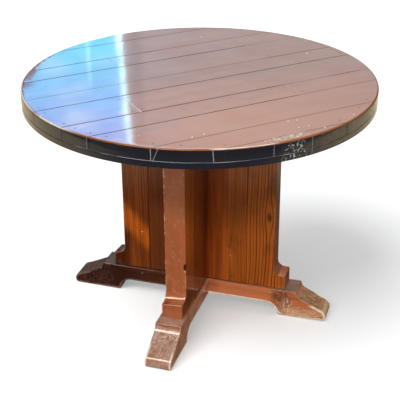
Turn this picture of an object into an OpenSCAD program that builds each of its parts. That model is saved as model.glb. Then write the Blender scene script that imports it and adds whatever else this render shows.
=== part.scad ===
/* [Top] */
// Height of the top face above the floor
table_h = 766; // [700:1:800]
// Diameter of the round top
top_d = 1066; // [950:1:1180]
// Thickness of the boards of the top
board_t = 37.5; // [32:0.5:45]
// Width of the wide rows of boards
wide_w = 143; // [110:1:170]
// Width of the narrow rows between them
narrow_w = 94; // [80:1:110]
// Where the middle narrow row starts, measured from the centre
mid_seam = -25; // [-60:1:60]
// Least width of a board at the rim
least_strip = 32; // [10:1:40]
// Direction of the boards, turned from the right foot
grain_angle = 45; // [0:1:90]
// Gap at each seam between boards
seam_gap = 0.4; // [0.2:0.1:1]
// Bevel along the upper edges of each board
arris = 0.8; // [0.4:0.1:2]
// Radius of the rounded edge round the top
edge_r = 6; // [3:0.5:12]

/* [End joints] */
// End joint two rows before the middle one, measured along the boards
butt_a = 197; // [120:1:260]
// End joint one row before the middle one
butt_b = -272; // [-330:1:-160]
// End joint one row after the middle one
butt_c = 280; // [160:1:330]
// End joint two rows after the middle one
butt_d = -155; // [-250:1:-100]

/* [Splines] */
// Thickness of the loose tongues in the seams
spline_t = 6; // [4:0.5:9]
// Width of those tongues
spline_w = 24; // [16:1:34]
// Height of their middle above the underside of the boards
spline_z = 22; // [20:0.5:24]
// Distance from the rim to the end of each tongue
spline_stop = 60; // [45:1:90]

/* [Ring under the edge] */
// Thickness of the ring
ring_t = 19.5; // [15:0.5:26]
// Width of the ring from its outer to its inner edge
ring_w = 100; // [70:1:115]
// Direction of the first joint of the ring, from the right foot
ring_joint_angle = -85; // [-100:1:-60]
// Radius along the lower outer edge of the ring
ring_edge_r = 2.5; // [1:0.5:5]

/* [Bearers under the top] */
// Width of each bearer
bearer_w = 66; // [60:1:90]
// Height of each bearer
bearer_h = 60; // [50:1:75]
// Gap between the end of each bearer and the ring
bearer_end_gap = 33; // [10:1:60]
// Height of the bearer at its bevelled ends
bearer_end_h = 28; // [18:1:40]
// Length of that bevel
bearer_bevel = 50; // [30:1:55]

/* [Pedestal] */
// Thickness of the upright boards
wing_t = 66; // [58:1:70]
// Distance from the centre to the edge of each wing
wing_half = 253.5; // [240:0.5:270]
// Distance from the centre to the joint between a wing's boards
wing_joint = 164; // [150:1:180]
// Depth of the grooves that house the front and back wings
dado = 8; // [4:1:14]
// How far the block at the foot of a wing stands out beyond the wing's edge
block_out = 39; // [32:0.5:50]
// Height of that block
block_h = 50; // [40:0.5:70]
// Radius of the cove above the block
cove_r = 24; // [16:1:30]
// Radius of the nose of the block
nose_r = 3; // [1:0.5:6]

/* [Cross base] */
// Width of each base beam
beam_w = 81.5; // [76:0.5:95]
// Height of each base beam
beam_h = 92; // [82:1:105]
// Clear height under each beam, between its pads
arch_h = 42; // [30:1:48]
// How far the flat top of a beam runs on beyond the block
ledge_out = 39.5; // [30:0.5:50]
// How far the toe reaches beyond that ledge
toe_out = 101; // [88:1:115]
// Length of the pad under each foot
pad_l = 160; // [140:1:175]
// Radius of the scoop below the ledge
scoop_r = 26; // [20:1:32]
// Slope of the foot below the scoop
foot_slope = 25; // [22:1:28]
// Lean of the face of the toe
toe_lean = 6; // [0:1:12]
// Radius on top of the toe
toe_r = 18; // [10:1:20]
// Radius along the lower edge of the toe
sole_r = 5; // [2:1:7]

/* [Joints and fasteners] */
// Thickness of the stub tenons
tenon_t = 22; // [16:1:28]
// Height of the stub tenons
tenon_h = 24; // [15:1:28]
// Shoulder at each side of a tenon
tenon_shoulder = 15; // [8:1:24]
// Gap between glued edges of the upright boards
glue_gap = 0.3; // [0.2:0.1:0.6]
// Clearance round tongues, tenons and shanks
fit = 0.15; // [0.1:0.05:0.3]
// Diameter of the dowels between the upright boards
dowel_d = 12; // [8:1:16]
// Length of those dowels
dowel_l = 60; // [40:2:80]
// Distance from the ends of the boards to the outer dowels
dowel_end = 112; // [100:1:150]
// Dowels in each joint
dowel_n = 3; // [2:1:4]
// Length of the lag bolts in the base
lag_l = 98; // [80:1:105]
// Diameter of the lag bolts in the base
lag_d = 10; // [8:1:12]
// Depth of the recess for each bolt head and washer
lag_recess = 12; // [10:0.5:15]
// Length of the lag bolts in the bearers
head_lag_l = 88; // [75:1:98]
// Diameter of the screws into the top
screw_d = 5; // [4:0.5:6]
// Depth to which screws enter the boards of the top
screw_bite = 16; // [10:0.5:16]
// Distance from the end of a bearer to its screws
bearer_screw_in = 85; // [70:1:100]
// Distance from the middle of a bearer to its screws
bearer_screw_side = 19; // [14:1:21]
// Depth of the recess for those screws
screw_recess = 24; // [15:1:35]
// Distance from the rim to the screws of the ring
ring_screw_in = 62; // [48:1:66]
// Screws in each block of the ring
ring_screw_n = 3; // [2:1:4]
// Diameter of the nails
nail_d = 3; // [2:0.5:4]
// Distance from the rim to the nails
nail_in = 24; // [18:1:32]
// Distance from the long edges of a board to its nails
nail_side = 22; // [18:1:28]
// Distance from an end joint to its nails
nail_butt = 14; // [10:1:18]
// Length of the nails into the ring
ring_nail_l = 50; // [44:1:54]
// Length of the nails at the end joints
butt_nail_l = 28; // [24:1:31]

/* [Hidden] */
$fn = 96;
top_r = top_d / 2;
top_z = table_h - board_t;
ring_z = top_z - ring_t;
bearer_z = top_z - bearer_h;
bearer_half = top_r - ring_w - bearer_end_gap;
block_half = wing_half + block_out;
ledge_x = block_half + ledge_out;
toe_x = ledge_x + toe_out;
pad_in = toe_x - pad_l;
ring_n = 8;
wing_n = 4;
past = 1;

inner_tenon = [beam_w / 2 + tenon_shoulder, wing_joint - tenon_shoulder];
foot_tenon = [wing_joint + tenon_shoulder, block_half - tenon_shoulder];
head_tenon = [wing_joint + tenon_shoulder, wing_half - tenon_shoulder];

nail_head_d = 2 * nail_d;
nail_head_t = 1.2;
nail_tip = 4;
screw_head_d = 2 * screw_d;
screw_head_h = 0.6 * screw_d;
screw_tip = 3;
lag_across = 1.6 * lag_d;
lag_head_h = 0.65 * lag_d;
washer_t = 2;
washer_d = 2.4 * lag_d;
recess_play = 2;
recess_d = washer_d + recess_play;
spline_play = 1;
joint_reach = 0.05;

// Board colours
plank_brown = "#5b3326";
rim_black = "#1d1a1b";
bearer_brown = "#6f4a33";
pine_amber = "#a8693d";
foot_brown = "#8a5136";
spline_tan = "#c7a377";
steel_grey = "#8d8f92";

// Points along an arc, from one direction to another
function arc(centre, r, from, to, steps) =
    [for (i = [0:steps])
        centre + r * [cos(from + (to - from) * i / steps), sin(from + (to - from) * i / steps)]];

// The same outline on the other side of the middle, in reverse order
function mirrored(points) = [for (i = [len(points) - 1:-1:0]) [-points[i][0], points[i][1]]];

function mid(pair) = (pair[0] + pair[1]) / 2;

// Where a row starts. The middle row is number zero, and narrow and wide rows alternate from there
function seam(i) = mid_seam + floor(i / 2) * (wide_w + narrow_w) + (i % 2 == 0 ? 0 : narrow_w);

// The rows that fit the round, from the front right
far_row = ceil(top_d / narrow_w);
rows = [for (i = [-far_row:far_row])
    if (seam(i + 1) > least_strip - top_r && seam(i) < top_r - least_strip) i];
first_row = rows[0];
last_row = rows[len(rows) - 1];

function row_from(row) = row == first_row ? -top_r - past : seam(row);
function row_to(row) = row == last_row ? top_r + past : seam(row + 1);
function butts(row) =
    row == -2 ? [butt_a] : row == -1 ? [butt_b] : row == 1 ? [butt_c] : row == 2 ? [butt_d] : [];
function row_ends(row) = concat([-top_r - past], butts(row), [top_r + past]);

// The same rows from the middle outwards, which is the order in which the boards are numbered
rows_outwards = [for (k = [0:far_row])
    for (row = k == 0 ? [0] : [-k, k])
    if (row >= first_row && row <= last_row) row];

// Each board as its row and the places where it starts and ends along the row
top_boards = [for (row = rows_outwards)
    let (ends = row_ends(row))
    for (k = [0:len(ends) - 2]) [row, ends[k], ends[k + 1]]];

function turned(p) =
    [p[0] * cos(grain_angle) - p[1] * sin(grain_angle), p[0] * sin(grain_angle) + p[1] * cos(grain_angle)];

// Places of the nails, along and across the boards
nail_r = top_r - nail_in;
nail_rows = [for (row = rows)
    for (v = [row_from(row) + nail_side, row_to(row) - nail_side])
    if (abs(v) < nail_r - nail_side) [row, v]];
ring_nails = [for (n = nail_rows) for (side = [-1, 1]) [side * sqrt(nail_r * nail_r - n[1] * n[1]), n[1]]];
butt_nails_at = [for (row = rows)
    for (u = butts(row))
    for (side = [-1, 1])
    for (v = [row_from(row) + nail_side, row_to(row) - nail_side]) [u + side * nail_butt, v]];

// Places of the screws that come up into the boards
ring_screw_r = top_r - ring_screw_in;
ring_step = 360 / ring_n;
ring_screws_at = [for (i = [0:ring_n * ring_screw_n - 1])
    let (a = ring_joint_angle + ring_step * (i + 0.5) / ring_screw_n)
    ring_screw_r * [cos(a), sin(a)]];
bearer_screw_x = bearer_half - bearer_screw_in;
bearer_screws_at = [for (k = [0:wing_n - 1])
    for (y = [-bearer_screw_side, bearer_screw_side])
    [bearer_screw_x * cos(90 * k) - y * sin(90 * k), bearer_screw_x * sin(90 * k) + y * cos(90 * k)]];

// Heights of the dowels
wing_h = bearer_z - beam_h;
dowel_z = [for (i = [0:dowel_n - 1]) beam_h + dowel_end + i * (wing_h - 2 * dowel_end) / (dowel_n - 1)];

// A solid of revolution with a flat head at zero and its shank upward, grown by a clearance
module countersunk(d, head_d, head_h, l, tip, grow) {
    rotate_extrude()
        polygon([[0, -grow], [head_d / 2 + grow, -grow], [head_d / 2 + grow, 0],
            [d / 2 + grow, head_h], [d / 2 + grow, l - tip + grow], [0, l + grow]]);
}

module screw(l, grow = 0) countersunk(screw_d, screw_head_d, screw_head_h, l, screw_tip, grow);

// A nail with its head at zero and its point down
module nail(l, grow = 0) {
    rotate_extrude()
        polygon([[0, grow], [nail_head_d / 2 + grow, grow], [nail_head_d / 2 + grow, -nail_head_t - grow],
            [nail_d / 2 + grow, -nail_head_t - grow], [nail_d / 2 + grow, nail_tip - l - grow],
            [0, -l - grow]]);
}

// A lag bolt with the seat of its head at zero, the head above and the shank below
module lag_bolt(l) {
    cylinder(d = lag_across * 2 / sqrt(3), h = lag_head_h, $fn = 6);
    translate([0, 0, -l])
        cylinder(d = lag_d, h = l);
}

// A washer that lies below zero
module washer() {
    translate([0, 0, -washer_t])
        difference() {
            cylinder(d = washer_d, h = washer_t);
            translate([0, 0, -past])
                cylinder(d = lag_d + 4 * fit, h = washer_t + 2 * past);
        }
}

// The recess for head and washer above zero, and the hole for the shank below it
module lag_hole(l) {
    cylinder(d = recess_d, h = lag_recess + past);
    translate([0, 0, -l - fit])
        cylinder(d = lag_d + 2 * fit, h = l + fit + past);
}

// Round disc with its upper edge rounded
module top_disc() {
    difference() {
        cylinder(r = top_r, h = board_t, $fn = 360);
        rotate_extrude($fn = 360)
            translate([top_r - edge_r, board_t - edge_r])
                difference() {
                    square(edge_r + past);
                    circle(edge_r);
                }
    }
}

// Section of a board with bevelled upper edges
module eased_section(from, to) {
    polygon([[from, 0], [to, 0], [to, board_t - arris], [to - arris, board_t],
        [from + arris, board_t], [from, board_t - arris]]);
}

// A board between two seams and two ends, before it is cut round
module board_block(row, from, to) {
    v0 = row_from(row) + seam_gap / 2;
    v1 = row_to(row) - seam_gap / 2;
    u0 = from + seam_gap / 2;
    u1 = to - seam_gap / 2;
    intersection() {
        translate([u0, 0, 0])
            rotate([90, 0, 90])
                linear_extrude(u1 - u0)
                    eased_section(v0, v1);
        translate([0, v1, 0])
            rotate([90, 0, 0])
                linear_extrude(v1 - v0)
                    eased_section(u0, u1);
    }
}

// Tongue along a seam, which ends short of the rim
module seam_spline(i, grow = 0) {
    reach = sqrt(top_r * top_r - seam(i) * seam(i)) - spline_stop + grow;
    translate([-reach, seam(i) - spline_w / 2 - grow, spline_z - spline_t / 2 - grow])
        cube([2 * reach, spline_w + 2 * grow, spline_t + 2 * grow]);
}

// Tongue across an end joint, between the tongues of the row's two seams
module end_spline(row, u, grow = 0) {
    v0 = row_from(row) + spline_w / 2 + spline_play;
    v1 = row_to(row) - spline_w / 2 - spline_play;
    w = 2 * nail_butt + spline_w / 2;
    translate([u - w / 2 - grow, v0 - grow, spline_z - spline_t / 2 - grow])
        cube([w + 2 * grow, v1 - v0 + 2 * grow, spline_t + 2 * grow]);
}

function in_board(p, row, from, to) =
    p[0] > from - nail_head_d && p[0] < to + nail_head_d
    && p[1] > row_from(row) - nail_head_d && p[1] < row_to(row) + nail_head_d;

// The same place measured along and across the boards
function unturned(p) =
    [p[0] * cos(grain_angle) + p[1] * sin(grain_angle), -p[0] * sin(grain_angle) + p[1] * cos(grain_angle)];

module top_board(i) {
    row = top_boards[i - 1][0];
    from = top_boards[i - 1][1];
    to = top_boards[i - 1][2];
    color(plank_brown)
        translate([0, 0, top_z])
            rotate([0, 0, grain_angle])
                difference() {
                    intersection() {
                        top_disc();
                        board_block(row, from, to);
                    }
                    for (s = [max(row, first_row + 1):min(row + 1, last_row)])
                        seam_spline(s, fit);
                    for (u = butts(row))
                        end_spline(row, u, fit);
                    for (p = ring_nails)
                        if (in_board(p, row, from, to))
                            translate([p[0], p[1], board_t])
                                nail(ring_nail_l, fit);
                    for (p = butt_nails_at)
                        if (in_board(p, row, from, to))
                            translate([p[0], p[1], board_t])
                                nail(butt_nail_l, fit);
                    for (q = concat(ring_screws_at, bearer_screws_at))
                        let (p = unturned(q))
                        if (in_board(p, row, from, to))
                            translate([p[0], p[1], -past])
                                cylinder(d = screw_d + 2 * fit, h = screw_bite + fit + past);
                }
}

module seam_splines() {
    color(spline_tan)
        translate([0, 0, top_z])
            rotate([0, 0, grain_angle])
                for (i = [first_row + 1:last_row])
                    seam_spline(i);
}

module end_splines() {
    color(spline_tan)
        translate([0, 0, top_z])
            rotate([0, 0, grain_angle])
                difference() {
                    for (row = rows)
                        for (u = butts(row))
                            end_spline(row, u);
                    for (p = butt_nails_at)
                        translate([p[0], p[1], board_t])
                            nail(butt_nail_l, fit);
                }
}

module ring_nails() {
    color(steel_grey)
        translate([0, 0, table_h])
            rotate([0, 0, grain_angle])
                for (p = ring_nails)
                    translate(p)
                        nail(ring_nail_l);
}

module end_joint_nails() {
    color(steel_grey)
        translate([0, 0, table_h])
            rotate([0, 0, grain_angle])
                for (p = butt_nails_at)
                    translate(p)
                        nail(butt_nail_l);
}

// Section of the ring, with its lower outer edge rounded
module ring_section() {
    difference() {
        translate([top_r - ring_w, 0])
            square([ring_w, ring_t]);
        translate([top_r - ring_edge_r, ring_edge_r])
            difference() {
                translate([0, -ring_edge_r - past])
                    square(ring_edge_r + past);
                circle(ring_edge_r);
            }
    }
}

// How far a place lies round the ring from a block's first joint, in blocks
function blocks_round(p, i) =
    let (a = atan2(p[1], p[0]) - ring_joint_angle - ring_step * (i - 1))
    (a / ring_step + 2 * ring_n) % ring_n;

function in_block(p, i) =
    let (b = blocks_round(p, i)) b < 1 + joint_reach || b > ring_n - joint_reach;

module ring_block(i) {
    start = ring_joint_angle + ring_step * (i - 1);
    gap_angle = seam_gap / top_r * 180 / PI;
    color(rim_black)
        difference() {
            translate([0, 0, ring_z])
                rotate([0, 0, start + gap_angle / 2])
                    rotate_extrude(angle = ring_step - gap_angle, $fn = 360)
                        ring_section();
            for (p = ring_nails)
                if (in_block(turned(p), i))
                    translate(concat(turned(p), table_h))
                        nail(ring_nail_l, fit);
            for (p = ring_screws_at)
                if (in_block(p, i))
                    translate(concat(p, ring_z))
                        screw(ring_t + screw_bite, fit);
        }
}

module ring_screws() {
    color(steel_grey)
        for (p = ring_screws_at)
            translate(concat(p, ring_z))
                screw(ring_t + screw_bite);
}

// Side view of a bearer, with both lower ends bevelled
bearer_outline = let (half = [[bearer_half - bearer_bevel, 0], [bearer_half, bearer_h - bearer_end_h],
    [bearer_half, bearer_h]]) concat(half, mirrored(half));

// Mortise from below for a tenon, between two distances from the centre
module mortise(range) {
    translate([range[0] - fit, -tenon_t / 2 - fit, -past])
        cube([range[1] - range[0] + 2 * fit, tenon_t + 2 * fit, tenon_h + fit + past]);
}

module bearer(lap_from) {
    half_lap = bearer_w / 2 + fit;
    difference() {
        translate([0, bearer_w / 2, 0])
            rotate([90, 0, 0])
                linear_extrude(bearer_w)
                    polygon(bearer_outline);
        translate([-half_lap, -half_lap, lap_from])
            cube([2 * half_lap, 2 * half_lap, bearer_h / 2 + past]);
        for (turn = [0, 180])
            rotate([0, 0, turn]) {
                mortise(inner_tenon);
                mortise(head_tenon);
                for (x = [mid(inner_tenon), mid(head_tenon)])
                    translate([x, 0, bearer_h - lag_recess])
                        lag_hole(head_lag_l);
                for (y = [-bearer_screw_side, bearer_screw_side])
                    translate([bearer_screw_x, y, -past]) {
                        cylinder(d = screw_head_d + recess_play, h = screw_recess + past);
                        cylinder(d = screw_d + 2 * fit, h = bearer_h + 2 * past);
                    }
            }
    }
}

module bearer_side_to_side() {
    color(bearer_brown)
        translate([0, 0, bearer_z])
            bearer(bearer_h / 2);
}

module bearer_front_to_back() {
    color(bearer_brown)
        translate([0, 0, bearer_z])
            rotate([0, 0, 90])
                bearer(-past);
}

// Four copies, one along each wing
module round_wings() {
    for (turn = [0:90:270])
        rotate([0, 0, turn])
            children();
}

module bearer_screws() {
    color(steel_grey)
        for (p = bearer_screws_at)
            translate(concat(p, bearer_z + screw_recess)) {
                cylinder(d = screw_d, h = bearer_h - screw_recess + screw_bite);
                translate([0, 0, -screw_head_h])
                    cylinder(d = screw_head_d, h = screw_head_h);
            }
}

module bearer_lag_bolts() {
    color(steel_grey)
        round_wings()
            for (x = [mid(inner_tenon), mid(head_tenon)])
                translate([x, 0, top_z - lag_recess + washer_t])
                    lag_bolt(head_lag_l);
}

module bearer_washers() {
    color(steel_grey)
        round_wings()
            for (x = [mid(inner_tenon), mid(head_tenon)])
                translate([x, 0, top_z - lag_recess + washer_t])
                    washer();
}

// Outline of a wing's inner board
function inner_outline(from) =
    let (to = wing_joint - glue_gap / 2)
    [[from, beam_h], [to, beam_h], [to, bearer_z], [from, bearer_z]];

// Outline of a wing's outer board, with the block at its foot and the cove above it
block_top = beam_h + block_h;
outer_outline = concat(
    [[wing_joint + glue_gap / 2, beam_h], [block_half, beam_h]],
    arc([block_half - nose_r, block_top - nose_r], nose_r, 0, 90, 5),
    arc([wing_half + cove_r, block_top + cove_r], cove_r, 270, 180, 12),
    [[wing_half, bearer_z], [wing_joint + glue_gap / 2, bearer_z]]
);

// Stub tenon between two distances from the centre, which stands on zero
module tenon(range) {
    translate([range[0], -tenon_t / 2, -glue_gap])
        cube([range[1] - range[0], tenon_t, tenon_h + glue_gap]);
}

module upright(outline, lower_tenon, upper_tenon) {
    difference() {
        union() {
            translate([0, wing_t / 2, 0])
                rotate([90, 0, 0])
                    linear_extrude(wing_t)
                        polygon(outline);
            translate([0, 0, beam_h])
                mirror([0, 0, 1])
                    tenon(lower_tenon);
            translate([0, 0, bearer_z])
                tenon(upper_tenon);
        }
        translate([mid(lower_tenon), 0, arch_h + lag_recess])
            mirror([0, 0, 1])
                lag_hole(lag_l);
        translate([mid(upper_tenon), 0, top_z - lag_recess])
            lag_hole(head_lag_l);
        for (z = dowel_z)
            translate([wing_joint, 0, z])
                dowel(fit);
    }
}

// A dowel lying across a joint
module dowel(grow = 0) {
    rotate([0, 90, 0])
        translate([0, 0, -dowel_l / 2 - grow])
            cylinder(d = dowel_d + 2 * grow, h = dowel_l + 2 * grow);
}

function is_front_to_back(i) = i % 2 == 0;

module inner_upright(i) {
    from = is_front_to_back(i) ? wing_t / 2 - dado + fit : glue_gap / 2;
    color(pine_amber)
        rotate([0, 0, 90 * (i - 1)])
            difference() {
                upright(inner_outline(from), inner_tenon, inner_tenon);
                if (!is_front_to_back(i)) {
                    for (side = [0, 1])
                        mirror([0, side, 0])
                            translate([-past, wing_t / 2 - dado, beam_h - past])
                                cube([wing_t / 2 + fit + past, dado + past, wing_h + 2 * past]);
                    for (z = dowel_z)
                        translate([0, 0, z])
                            dowel(fit);
                }
            }
}

module outer_upright(i) {
    color(pine_amber)
        rotate([0, 0, 90 * (i - 1)])
            upright(outer_outline, foot_tenon, head_tenon);
}

module upright_dowels() {
    color(spline_tan)
        for (z = dowel_z) {
            translate([0, 0, z])
                dowel();
            round_wings()
                translate([wing_joint, 0, z])
                    dowel();
        }
}

// Where the slope of the foot leaves the scoop
slope_top = [ledge_x + scoop_r - scoop_r * sin(foot_slope), beam_h - scoop_r * cos(foot_slope)];

// Middle of the round on the toe, at its radius from the slope and from the leaning face
slope_in = [-sin(foot_slope), -cos(foot_slope)];
face_in = [-cos(toe_lean), -sin(toe_lean)];
slope_d = slope_top * slope_in + toe_r;
face_d = [toe_x, 0] * face_in + toe_r;
toe_det = slope_in[0] * face_in[1] - slope_in[1] * face_in[0];
toe_centre = [slope_d * face_in[1] - face_d * slope_in[1],
    slope_in[0] * face_d - face_in[0] * slope_d] / toe_det;

// Side view of a base beam: arch below, toe, slope, scoop and flat top
half_beam = concat(
    arc([pad_in - arch_h, 0], arch_h, 90, 0, 10),
    arc([toe_x - sole_r * (1 + sin(toe_lean)) / cos(toe_lean), sole_r], sole_r, -90, toe_lean, 4),
    arc(toe_centre, toe_r, toe_lean, 90 - foot_slope, 5),
    arc([ledge_x + scoop_r, beam_h], scoop_r, 270 - foot_slope, 180, 9)
);

module base_beam(lap_from) {
    half_lap = beam_w / 2 + fit;
    lap_h = (beam_h - arch_h) / 2;
    difference() {
        translate([0, beam_w / 2, 0])
            rotate([90, 0, 0])
                linear_extrude(beam_w)
                    polygon(concat(half_beam, mirrored(half_beam)));
        translate([-half_lap, -half_lap, lap_from])
            cube([2 * half_lap, 2 * half_lap, lap_h + past]);
        for (turn = [0, 180])
            rotate([0, 0, turn]) {
                for (range = [inner_tenon, foot_tenon]) {
                    translate([0, 0, beam_h])
                        mirror([0, 0, 1])
                            mortise(range);
                    translate([mid(range), 0, arch_h + lag_recess])
                        mirror([0, 0, 1])
                            lag_hole(lag_l);
                }
            }
    }
}

module base_beam_side_to_side() {
    color(foot_brown)
        base_beam((beam_h + arch_h) / 2);
}

module base_beam_front_to_back() {
    color(foot_brown)
        rotate([0, 0, 90])
            base_beam(arch_h - past);
}

module at_base_bolts() {
    round_wings()
        for (x = [mid(inner_tenon), mid(foot_tenon)])
            translate([x, 0, arch_h + lag_recess - washer_t])
                mirror([0, 0, 1])
                    children();
}

module base_lag_bolts() {
    color(steel_grey)
        at_base_bolts()
            lag_bolt(lag_l);
}

module base_washers() {
    color(steel_grey)
        at_base_bolts()
            washer();
}

for (i = [1:len(top_boards)])
    top_board(i);
seam_splines();
end_splines();
ring_nails();
end_joint_nails();
for (i = [1:ring_n])
    ring_block(i);
ring_screws();
bearer_side_to_side();
bearer_front_to_back();
bearer_screws();
bearer_lag_bolts();
bearer_washers();
for (i = [1:wing_n])
    inner_upright(i);
for (i = [1:wing_n])
    outer_upright(i);
upright_dowels();
base_beam_side_to_side();
base_beam_front_to_back();
base_lag_bolts();
base_washers();
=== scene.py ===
import math
import random
from collections import namedtuple
from functools import cache

import bmesh
import bpy
from bpy.props import FloatProperty, FloatVectorProperty, IntProperty, PointerProperty
from mathutils import Matrix, Quaternion, Vector, noise


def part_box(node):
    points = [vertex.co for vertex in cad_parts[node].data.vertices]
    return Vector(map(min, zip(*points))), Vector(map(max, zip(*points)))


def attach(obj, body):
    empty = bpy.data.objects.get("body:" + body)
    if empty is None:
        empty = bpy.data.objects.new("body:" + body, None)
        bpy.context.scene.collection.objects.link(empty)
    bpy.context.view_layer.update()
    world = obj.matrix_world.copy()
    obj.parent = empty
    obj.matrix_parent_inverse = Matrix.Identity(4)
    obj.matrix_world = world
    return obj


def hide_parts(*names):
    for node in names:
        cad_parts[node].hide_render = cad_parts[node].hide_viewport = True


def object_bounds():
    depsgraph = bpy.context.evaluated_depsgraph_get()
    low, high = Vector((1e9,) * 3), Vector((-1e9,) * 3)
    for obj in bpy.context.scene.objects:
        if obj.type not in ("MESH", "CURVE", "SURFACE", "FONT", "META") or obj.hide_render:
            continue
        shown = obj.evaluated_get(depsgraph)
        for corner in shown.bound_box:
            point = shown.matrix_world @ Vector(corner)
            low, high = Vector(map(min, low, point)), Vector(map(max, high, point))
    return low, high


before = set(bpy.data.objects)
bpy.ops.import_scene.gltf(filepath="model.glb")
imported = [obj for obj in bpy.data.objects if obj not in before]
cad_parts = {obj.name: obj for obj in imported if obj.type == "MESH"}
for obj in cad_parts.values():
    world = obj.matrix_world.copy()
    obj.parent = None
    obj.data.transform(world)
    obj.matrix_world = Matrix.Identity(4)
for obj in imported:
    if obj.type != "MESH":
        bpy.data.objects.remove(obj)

bl_info = {
    "name": "Round pedestal dining table",
    "version": (1, 0, 0),
    "blender": (4, 5, 0),
    "location": "View3D > Sidebar > Table",
    "description": "Dresses the packed frame of a round plank-topped dining table",
    "category": "Object",
}

CAD_LOW, CAD_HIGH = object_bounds()
TOP_RADIUS = (CAD_HIGH.x - CAD_LOW.x) / 2
TABLE_HEIGHT = CAD_HIGH.z
RING_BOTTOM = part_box("ring_block_1")[0].z
RING_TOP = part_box("ring_block_1")[1].z
BEARER_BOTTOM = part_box("bearer_side_to_side")[0].z
BEAM_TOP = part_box("base_beam_side_to_side")[1].z
MM = 0.001


# Properties

def length(name, text, value, low=0.0):
    return FloatProperty(name=name, description=text, default=value, min=low, unit="LENGTH", precision=4)


def colour(name, text, value):
    return FloatVectorProperty(name=name, description=text, default=value, size=3, min=0, max=1, subtype="COLOR")


def share(name, text, value):
    return FloatProperty(name=name, description=text, default=value, min=0, max=1, subtype="FACTOR")


def turn(name, text, degrees):
    return FloatProperty(name=name, description=text, default=math.radians(degrees), subtype="ANGLE")


def plain(name, text, value):
    return FloatProperty(name=name, description=text, default=value)


class TopSettings(bpy.types.PropertyGroup):
    edge_radius: length("Edge radius", "Rounding of the upper edge round the top", 6 * MM)
    arris: length("Arris", "Bevel along the upper edges of each board", 0.6 * MM)
    seam_gap: length("Seam gap", "Gap between neighbouring boards", 0.4 * MM)
    unevenness: length("Unevenness", "How far the boards stand off a flat plane", 0.12 * MM)
    varnish: colour("Varnish", "Colour of the varnished boards", (0.120, 0.036, 0.019))
    varnish_worn: colour("Worn varnish", "Colour where the varnish has thinned", (0.31, 0.100, 0.040))
    underside: colour("Underside", "Colour of the boards seen from below", (0.16, 0.085, 0.045))
    gloss: share("Roughness", "Roughness of the stained wood under the varnish", 0.36)
    paint_top: length("Paint line", "Height at which the black paint of the rim ends", 0.7620)


class RimSettings(bpy.types.PropertyGroup):
    width: length("Ring width", "Width of the ring under the edge", 100 * MM)
    edge_radius: length("Ring edge radius", "Rounding of the ring's edges", 2.2 * MM)
    paint: colour("Paint", "Black paint of the rim", (0.0085, 0.0100, 0.0165))
    crack: colour("Crack", "Filler that shows where the paint has cracked", (0.50, 0.50, 0.47))
    # This brown also serves as painted reflection in the streaks at the far sides of the rim
    rubbed: colour("Rubbed paint", "Brown that shows where the paint is rubbed thin", (0.130, 0.097, 0.050))


class PedestalSettings(bpy.types.PropertyGroup):
    thickness: length("Board thickness", "Thickness of the upright boards", 66 * MM)
    half_width: length("Wing", "Distance from the middle to the edge of a wing", 253.5 * MM)
    joint: length("Joint", "Distance from the middle to the joint in each wing", 164 * MM)
    light_wood: colour("Light wood", "Fir between the dark lines", (0.54, 0.130, 0.014))
    dark_wood: colour("Dark wood", "Dark lines of the fir", (0.040, 0.010, 0.004))
    bleached: colour("Bleached edge", "Colour of the wings' outer edges, where the varnish has thinned",
                     (0.42, 0.130, 0.055))
    line_spacing: length("Line spacing", "Distance between the dark lines of the inner boards", 5.0 * MM)


class BaseSettings(bpy.types.PropertyGroup):
    width: length("Beam width", "Width of each base beam", 81.5 * MM)
    light_wood: colour("Light wood", "Varnished wood between the dark lines", (0.56, 0.165, 0.062))
    dark_wood: colour("Dark wood", "Dark lines of the wood", (0.095, 0.020, 0.008))
    # The dusted colour on faces that look up is partly painted sheen
    dusty: colour("Dusty", "Faces that look up, where the varnish is dull", (0.48, 0.33, 0.26))
    worn_wood: colour("Worn wood", "Wood where the varnish has gone", (0.42, 0.24, 0.12))


class FastenerSettings(bpy.types.PropertyGroup):
    nail_head: length("Nail head", "Diameter of the nail heads", 6 * MM)
    nail_shank: length("Nail shank", "Diameter of the nails", 3 * MM)
    screw_head: length("Screw head", "Diameter of the screw heads", 10 * MM)
    screw_shank: length("Screw shank", "Diameter of the screws", 5 * MM)
    lag_across: length("Bolt head", "Width of the bolt heads across the corners", 18.475 * MM)
    lag_shank: length("Bolt shank", "Diameter of the lag bolts", 10 * MM)
    washer: length("Washer", "Diameter of the washers", 24 * MM)
    turn_seed: IntProperty(name="Turn seed", description="Seed for the turn of each head", default=7)


class StageSettings(bpy.types.PropertyGroup):
    floor: colour("Floor", "Colour of the floor", (0.86, 0.86, 0.86))
    azimuth: turn("Azimuth", "Turn of the camera round the table", 17.5247)
    elevation: turn("Elevation", "Height of the camera above the horizon", 26.5563)
    roll: turn("Roll", "Roll of the camera", -0.33)
    distance: length("Distance", "Distance of the camera", 3.1486)
    aim_side: plain("Aim side", "Sideways place that the camera looks at, in metres", -0.0008)
    aim_height: length("Aim height", "Height that the camera looks at", 0.3566)
    lens: plain("Lens", "Focal length in millimetres on a 36 mm sensor", 88.678)
    key_azimuth: turn("Key azimuth", "Direction of the main light", 34)
    key_elevation: turn("Key elevation", "Height of the main light", 43)
    key: plain("Key strength", "Strength of the main light", 1.6)
    fill: plain("Fill strength", "Strength of the low light from the front", 0.9)
    room: plain("Room strength", "Strength of the light from all round", 0.42)
    over: plain("Overhead strength", "Strength of the soft light over the floor", 2.7)
    wash: plain("Floor wash", "Strength of the even light on the floor", 1.2)
    beam: plain("Low beam", "Strength of the narrow beam on the left wing", 0.033)
    sheen: plain("Sheen", "How bright the room is in reflections", 1.0)


GROUPS = {"top": TopSettings, "rim": RimSettings, "pedestal": PedestalSettings, "base": BaseSettings,
          "fasteners": FastenerSettings, "stage": StageSettings}


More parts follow.
